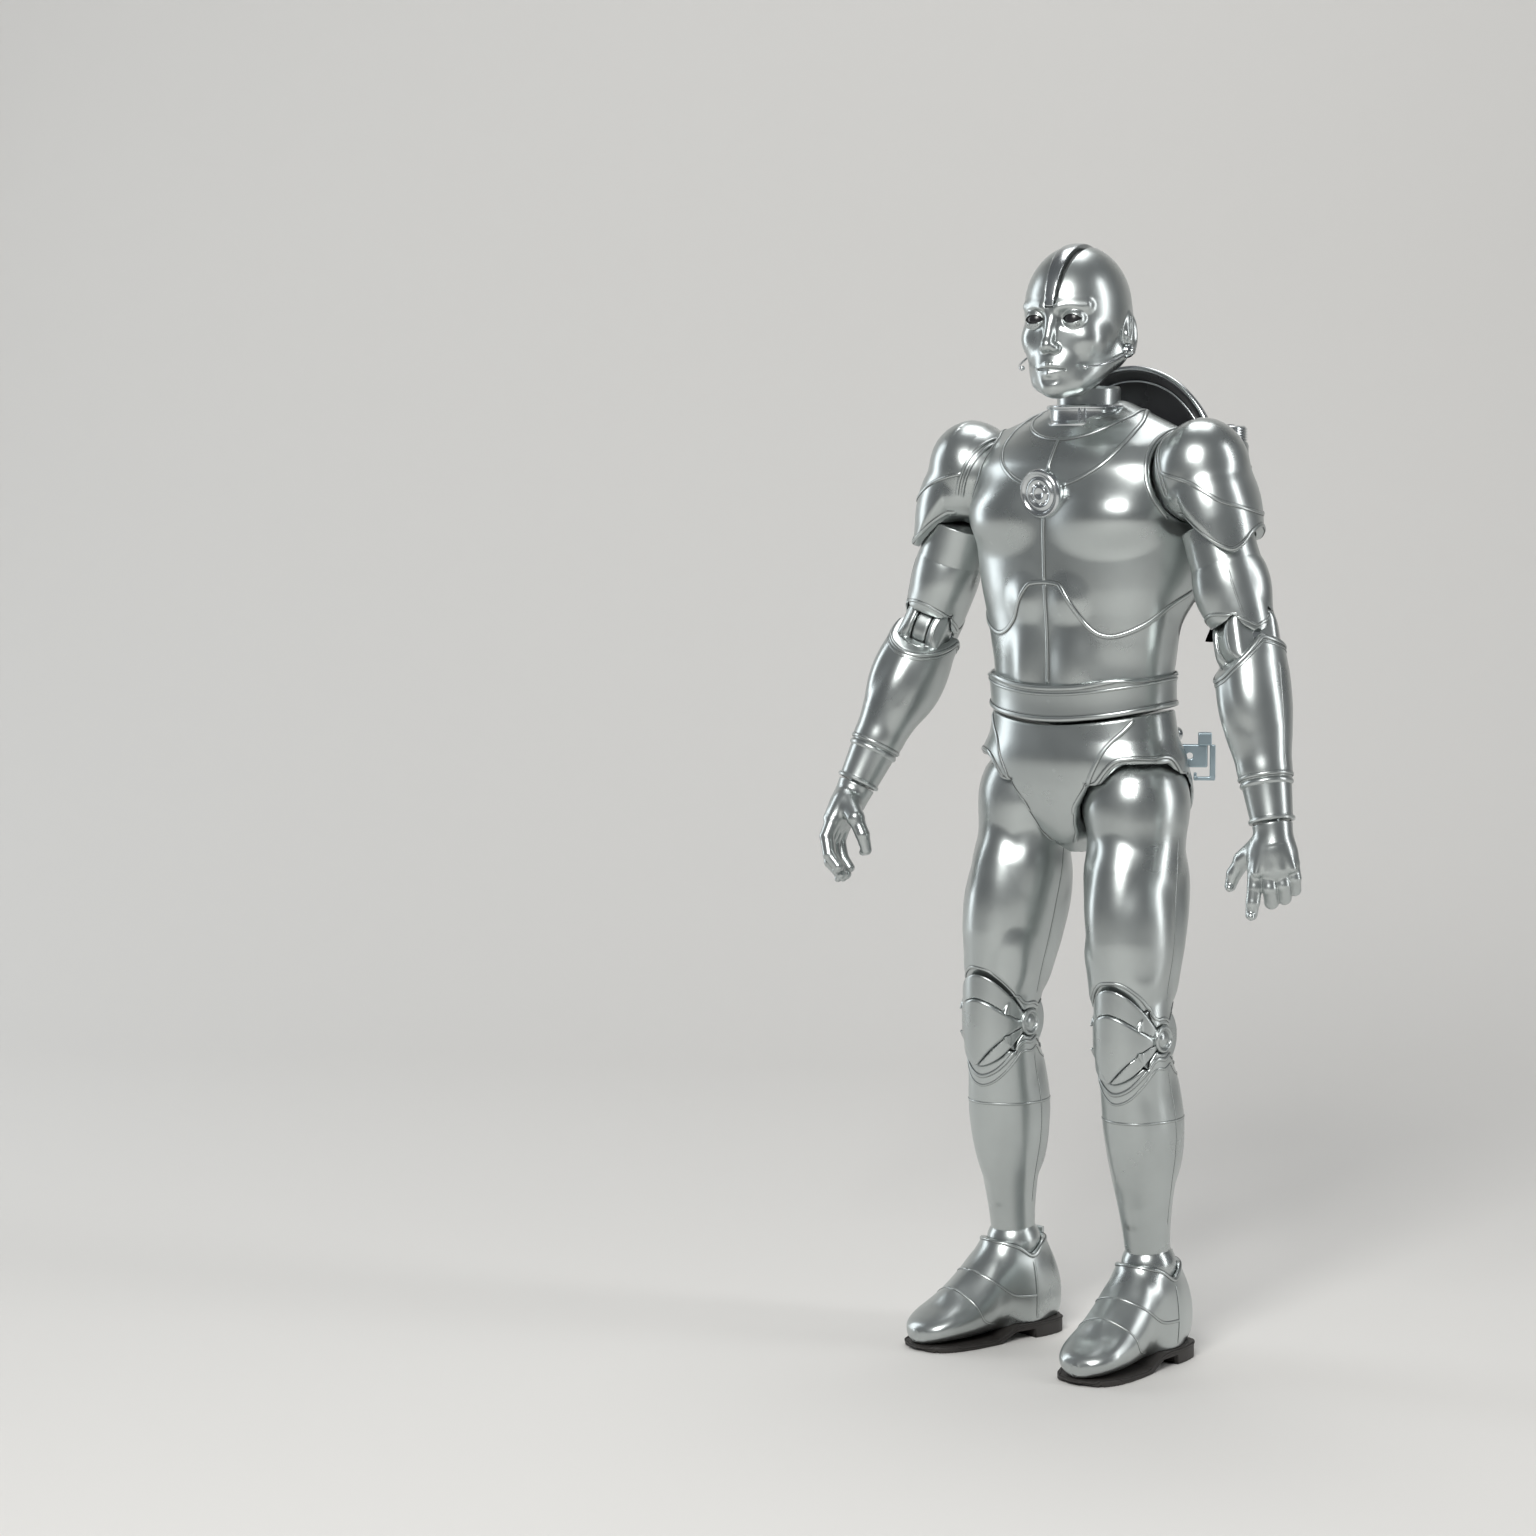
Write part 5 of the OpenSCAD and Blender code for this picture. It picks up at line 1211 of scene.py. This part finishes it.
def boot(s, F):
    side = "left_" if s > 0 else "right_"

    def boot_f(p):
        f = smin(foot_loft(p), shaft_loft(p), 3.0)
        f = smin(f, stick(p, (0, -5, -6), (0, -20, -15.5), 6.4, 5), 4)
        notch = 5.0 - 3.6 * np.exp(-(p[:, 1] / 3.6) ** 2) - 3.8
        f = smax(f, p[:, 2] - notch, 0.4)
        f = np.maximum(f, -ball(p, (0, 0, 0), 7.58))
        return smax(f, sole_top(p[:, 1]) - p[:, 2], 0.25)

    b = Build(F).skin(boot_f, (-11, -37, -26), (11, 15, 2.5), 0.46)
    ring = []
    for a in around(44):
        y = -8.8 * math.sin(a)
        ring.append((8.2 * math.cos(a), y, 0.4 - 3.6 * math.exp(-(y / 3.6) ** 2)))
    b.bead(boot_f, ring, w=0.5, tall=0.38, closed=True)
    b.bead_pair(boot_f, [(9, 0, -4.2), (9, 0.4, -10), (9, 1, -16), (9, 1.4, -20.6)], w=0.36, tall=0.22)
    b.bead_pair(boot_f,
                [(9, 1.2, -14), (8.8, -6, -13.4), (7.4, -11.5, -10.4), (3.8, -14.6, -8), (0, -15.4, -7.4)],
                w=0.36, tall=0.24)
    b.bead_pair(boot_f, [(9.4, -12, -22), (8.8, -18, -18.5), (5.8, -20.4, -14), (0, -21.4, -12)], w=0.3, tall=0.18)
    b.skin(lambda p: block(p, (0, 9.35, 0.2), (1.5, 0.55, 2.6), 0.3), (-2, 8, -3), (2, 10.4, 3.4), 0.25)   # pull tab
    b.make("boot_shell", "foot", "boot", SILVER, side=side)

    def sole_f(p):
        mid = np.interp(p[:, 1], foot_loft.t, foot_loft.v[:, 1])
        f = foot_loft(np.column_stack([p[:, 0], p[:, 1], mid]), 0.55)
        top = sole_top(p[:, 1]) - 0.02
        under = np.interp(p[:, 1], [-36, -33, -12, -6.5, 0.3, 0.4, 20],
                          [-24.9, -25.95, -25.95, -23.4, -23.4, -26, -26])
        f = smax(f, p[:, 2] - top, 0.15)
        f = smax(f, under - p[:, 2], 0.15)
        groove = np.abs(np.mod(p[:, 1], 2.4) - 1.2) - 0.35
        tread = np.maximum(np.maximum(groove, p[:, 2] + 25.55), np.abs(p[:, 0]) - 7)
        return np.maximum(f, -np.where((p[:, 1] < -13) | (p[:, 1] > 1.4), tread, 1))

    so = Build(F).skin(sole_f, (-11, -37, -26.2), (11, 15, -21), 0.36)
    so.bead(sole_f,
            [(x, y, float(sole_top(y)) - 0.55) for x, y in ((9.5, 2), (9.4, -6), (9.8, -14), (9.9, -21),
                                                            (8.6, -28.5), (4.8, -34.2), (0, -35.6),
                                                            (-4.8, -34.2), (-8.6, -28.5), (-9.9, -21),
                                                            (-9.8, -14), (-9.4, -6), (-9.5, 2), (-8.6, 9),
                                                            (-4.6, 13.4), (0, 14), (4.6, 13.4), (8.6, 9))],
            w=0.3, tall=0.2, closed=True)
    so.make("sole_tread", "foot", "boot_sole", SOLE, side=side)


shaft_loft = Loft([[-22, 0, 0.5, 8.6, 9, 9.4, 2.1], [-14, 0, 0.3, 8.6, 9, 9.6, 2.1],
                   [-7, 0, 0, 8.4, 8.8, 9.2, 2], [-2, 0, 0, 8.2, 8.8, 9, 2], [3, 0, 0, 8.3, 9, 9, 2]])


for s in (1, -1):
    boot(s, leg(s))

# ------------------------------------------------------------------ head


EYE, STUD = np.array([5.5, -15.2, 12.5]), np.array([13.4, -0.5, 4.5])   # left eyeball and ear stud
FLIP = np.array([-1, 1, 1])


def cranium(p):
    """The smooth cap of the head, without the face."""
    return smin(egg(p, (0, -2.8, 15.6), (13.7, 16.4, 17)), egg(p, (0, 3.4, 8), (12.2, 9.9, 10.5)), 4)


def face_f(p):
    q = sym(p)
    f = cranium(p)
    f = smin(f, egg(p, (0, -8.6, 4.2), (10.8, 10.0, 12)), 3.5)
    f = smin(f, stick(q, (10.2, -1.6, 3.6), (5.0, -13.0, -3.4), 3.2, 3.0), 3)
    f = smin(f, egg(p, (0, -15.0, -4.6), (4.6, 4.3, 3.7)), 2.6)
    f = smin(f, egg(q, (7.6, -11.6, 7.6), (3.6, 4.4, 3.6)), 3.5)
    f = smin(f, egg(p, (0, -14.6, 0.2), (5.9, 5.0, 5.2)), 2)
    f = smin(f, stick(q, (2.4, -17.9, 15.6), (8.6, -14.9, 16.0), 1.6, 1.2), 1.8)
    f = smax(f, -egg(q, (5.6, -19.2, 12.6), (3.6, 2.9, 2.3)), 1.8)
    f = smin(f, stick(p, (0, -17.6, 15), (0, -20.4, 6), 1.3, 1.6), 1.5)
    f = smin(f, ball(p, (0, -20.7, 5.5), 1.45), 1.2)
    f = smin(f, egg(q, (1.6, -19.3, 4.8), (1.15, 1.5, 1.1)), 1.0)
    f = smax(f, -egg(q, (1.0, -20.6, 3.5), (0.5, 0.8, 0.5)), 0.4)
    # lids round the eye openings
    lid = ball(q, EYE, 3.35)
    lens = np.abs(q[:, 2] - 12.55) - 1.12 * (1 - ((q[:, 0] - 5.5) / 2.75) ** 2)
    f = smin(f, smax(lid, -lens - 0.05, 0.2), 0.45)
    f = smax(f, -np.maximum(lens, ball(q, EYE, 3.9)), 0.15)
    f = np.maximum(f, -ball(q, EYE, 2.95))
    # mouth
    f = smin(f, stick(q, (0.4, -19.4, 0.55), (3.5, -17.6, -0.1), 0.85, 0.45), 0.6)
    f = smin(f, stick(q, (0.0, -19.1, -1.75), (2.9, -17.7, -1.2), 1.05, 0.5), 0.6)
    f = smax(f, -stick(q, (0, -20.4, -0.55), (4.1, -18.0, -0.65), 0.3, 0.2), 0.35)
    f = smax(f, -stick(p, (0, -20.3, 3.2), (0, -20.6, 1.6), 0.4, 0.45), 0.5)
    f = smax(f, -egg(p, (0, -20.0, -3.6), (2.8, 1.0, 0.7)), 0.9)
    # ears
    e = rot("x", 12)
    f = smin(f, egg(q, (13.2, 1.4, 9.2), (1.5, 3.4, 5.9), e), 0.7)
    f = smax(f, -egg(q, (14.8, 0.9, 10.2), (1.0, 2.2, 4.2), e), 0.35)
    f = smin(f, stick(q, (14.1, 0.5, 13.2), (14.1, 0.2, 7.2), 0.42, 0.5), 0.4)
    f = smin(f, egg(q, (13.6, -1.2, 8.6), (0.9, 0.9, 1.3)), 0.5)
    return f


def strip_w(p):
    """Half width of the crest strip."""
    return np.interp(p[:, 2], [15, 20, 28, 33], [1.15, 1.45, 2.05, 2.35]) + np.where(p[:, 1] > -2,
            np.clip(p[:, 1] + 2, 0, 8) * -0.08, 0)


def groove_w(p):
    """Width of the groove beside the crest, which is also painted with shade."""
    return np.interp(p[:, 2], [14, 20, 30, 33], [0.35, 0.8, 1.7, 1.9])


def head_f(p):
    f = face_f(p)
    w = strip_w(p)
    up = np.maximum(15.6 - p[:, 2], p[:, 1] - 7.5)
    bed = np.maximum(np.maximum(np.abs(p[:, 0]) - w - 0.12, up - 0.15), -1.1 - cranium(p))
    f = smax(f, -bed, 0.15)
    wide = groove_w(p)
    groove = np.maximum(np.maximum(np.abs(p[:, 0] - w - wide / 2) - wide / 2,
                                   np.maximum(16.4 - p[:, 2], p[:, 1] - 6.5)), -0.95 - cranium(p))
    f = smax(f, -groove, 0.3)
    # neck opening and pivots
    r = np.hypot(p[:, 0], p[:, 1] + SET)
    f = smax(f, -np.maximum(r - np.interp(p[:, 2], [-17, -2.4], [12, 9.6]), p[:, 2] + 2.4), 0.3)
    f = np.maximum(f, -ball(p, (0, -SET, -DROP), 6.1))
    q = sym(p)
    return smax(f, -ball(q, STUD, 1.98), 0.12)


hd = Build(HEAD)
v, q, n = skin(head_f, (-15.5, -23.5, -9.5), (15.5, 15, 34), 0.3)
w = strip_w(v)
wide = groove_w(v)
# painted shade: the groove beside the crest is painted fully dark and the mouth slit half dark
dark = (v[:, 0] > w - 0.3) & (v[:, 0] < w + wide + 0.15) & (v[:, 2] > 16) & (v[:, 1] < 6.9) & (cranium(v) < -0.12)
mouth = stick(sym(v), (0, -20.0, -0.55), (4.0, -17.9, -0.65), 0.34, 0.22) < 0.12
hd.add(v, q, n, np.where(dark, 1.0, np.where(mouth, 0.55, 0.0)))
hd.make("head_shell", "head", ["skull", "face"], SILVER)


def crest_f(p):
    f = smax(np.abs(p[:, 0]) - strip_w(p), cranium(p) - 0.42 + 0.10 * (p[:, 0] / 2.4) ** 2, 0.22)
    f = smax(f, np.maximum(15.75 - p[:, 2], p[:, 1] - 7.3), 0.3)
    return np.maximum(f, -1.0 - cranium(p))


cr = Build(HEAD).skin(crest_f, (-3, -20.5, 14), (3, 8, 34), 0.3)
cr.make("crest_strip", "head", "crest", BRIGHT)
# dark glossy eyeballs: the figure's dark eye lenses, and painted shade for the shadowed eye openings as well
ey = Build(HEAD)
for c in (EYE, EYE * FLIP):
    ey.skin(lambda p: np.maximum(ball(p, c, 2.9), p[:, 1] + 15.6), c - [3, 3.2, 3.1], c + [3, -0.1, 3.1], 0.3)
ey.make("eye_lens_and_shade", "head", "eye_lenses", BLACK, "dark_plastic")
st = Build(HEAD)
for m in (1, -1):
    st.skin(lambda p: smin(ball(p, STUD * [m, 1, 1], 1.9), drum(p, (m * 15.1, -0.5, 4.5), 0, 1.0, 0.35, 0.2), 0.2),
            (m * 14 - 3, -3, 2), (m * 14 + 3, 2, 7), 0.22)
st.make("ear_stud_balls", "head", "ear_studs", BRIGHT)
bo = Build(HEAD)
for m in (1, -1):
    bo.add(*tube([(m * 14.3, -2.3, 3.9), (m * 14.0, -7, 2.2), (m * 12.4, -12.5, 0.7), (m * 9.8, -16.4, -0.1)],
                 0.36, 0.3))
    bo.skin(lambda p: egg(p, (m * 9.4, -16.8, -0.15), (0.8, 0.85, 0.65)), (m * 9.4 - 1.6, -18.4, -1.6),
            (m * 9.4 + 1.6, -15.2, 1.4), 0.16)
bo.make("headset_boom", "head", "mic_boom", BRIGHT)
neck_pin = [(0, 252), (3, 252), (3, 261.8)] + [(6 * math.sin(t), 267 - 6 * math.cos(t)) for t in np.linspace(0.53,
        math.pi, 24)]
nb = Build(Place(o=(0, NECK_Y, 0))).lathe(neck_pin, 64)
nb.make("neck_ball_pin", "neck", "neck_ball", DARK)

# ------------------------------------------------------------------ studio


def flat_mat(name, col, rough=0.6):
    m = bpy.data.materials.new(name)
    m.use_nodes = True
    b = m.node_tree.nodes["Principled BSDF"]
    b.inputs["Base Color"].default_value = (*col, 1)
    b.inputs["Roughness"].default_value = rough
    return m


def paper():
    """Pale paper, clear from its back side so that the figure can be seen from behind."""
    m = flat_mat("pale_paper", (0.74, 0.73, 0.71), 0.85)
    nodes, links = m.node_tree.nodes, m.node_tree.links
    side, clear, mix = (nodes.new("ShaderNode" + kind) for kind in ("NewGeometry", "BsdfTransparent", "MixShader"))
    links.new(side.outputs["Backfacing"], mix.inputs[0])
    links.new(nodes["Principled BSDF"].outputs[0], mix.inputs[1])
    links.new(clear.outputs[0], mix.inputs[2])
    links.new(mix.outputs[0], nodes["Material Output"].inputs[0])
    return m


def sweep():
    """A pale floor that curves up behind the figure, square to the camera."""
    pts = [(-0.9, 0.0), (0.45, 0.0)]
    pts += [(0.45 + 0.35 * math.sin(t), 0.35 - 0.35 * math.cos(t)) for t in np.linspace(0.1, math.pi / 2, 14)]
    pts += [(0.8, 1.6)]
    R = rot("z", 37)
    v, f = [], []
    for x in (-1.6, 1.6):
        for y, z in pts:
            v.append(tuple(R @ np.array([x, y, z])))
    k = len(pts)
    for i in range(k - 1):
        f.append((i, i + k, i + k + 1, i + 1))
    me = bpy.data.meshes.new("floor")
    me.from_pydata(v, [], f)
    me.polygons.foreach_set("use_smooth", [True] * len(me.polygons))
    ob = bpy.data.objects.new("floor", me)
    COLL.objects.link(ob)
    me.materials.append(paper())


def lamp(name, where, to, size, power, col=(1, 1, 1)):
    l = bpy.data.lights.new(name, "AREA")
    l.shape = "RECTANGLE"
    l.size, l.size_y = size
    l.energy = power
    l.color = col
    o = bpy.data.objects.new(name, l)
    o.location = where
    d = Vector(to) - Vector(where)
    o.rotation_mode = "QUATERNION"
    o.rotation_quaternion = d.to_track_quat("-Z", "Y")
    COLL.objects.link(o)


sweep()
lamp("key", (0.35, -0.85, 0.75), (0, 0, 0.19), (0.42, 0.42), 9, (1.0, 0.99, 0.97))
lamp("fill", (-0.95, -0.25, 0.4), (0, 0, 0.15), (0.3, 0.8), 2.2, (0.93, 0.97, 1.0))
lamp("side", (0.85, 0.35, 0.45), (0, 0, 0.15), (0.16, 0.9), 2.4, (1, 1, 1))
lamp("top", (-0.15, 0.25, 1.1), (0, 0, 0.2), (0.5, 0.5), 3)
world = bpy.data.worlds.new("studio")
bpy.context.scene.world = world
world.use_nodes = True
world.node_tree.nodes["Background"].inputs["Color"].default_value = (0.82, 0.86, 0.9, 1)
world.node_tree.nodes["Background"].inputs["Strength"].default_value = 0.16

cam = bpy.data.cameras.new("camera")
cam.lens = 82.19
cam.sensor_width = 36
cam.clip_start, cam.clip_end = 0.05, 10
camo = bpy.data.objects.new("camera", cam)
COLL.objects.link(camo)
camo.location = (0.570, -0.757, 0.237)
az = math.radians(37)
turn = math.radians(5.14)   # the figure stands right of the middle
fwd = Vector((-math.sin(az + turn), math.cos(az + turn), 0))
pitch = math.radians(-4.75)
fwd = Vector((fwd.x * math.cos(pitch), fwd.y * math.cos(pitch), math.sin(pitch)))
camo.rotation_mode = "QUATERNION"
camo.rotation_quaternion = fwd.to_track_quat("-Z", "Y")
bpy.context.scene.camera = camo
bpy.context.scene.view_settings.view_transform = "Standard"
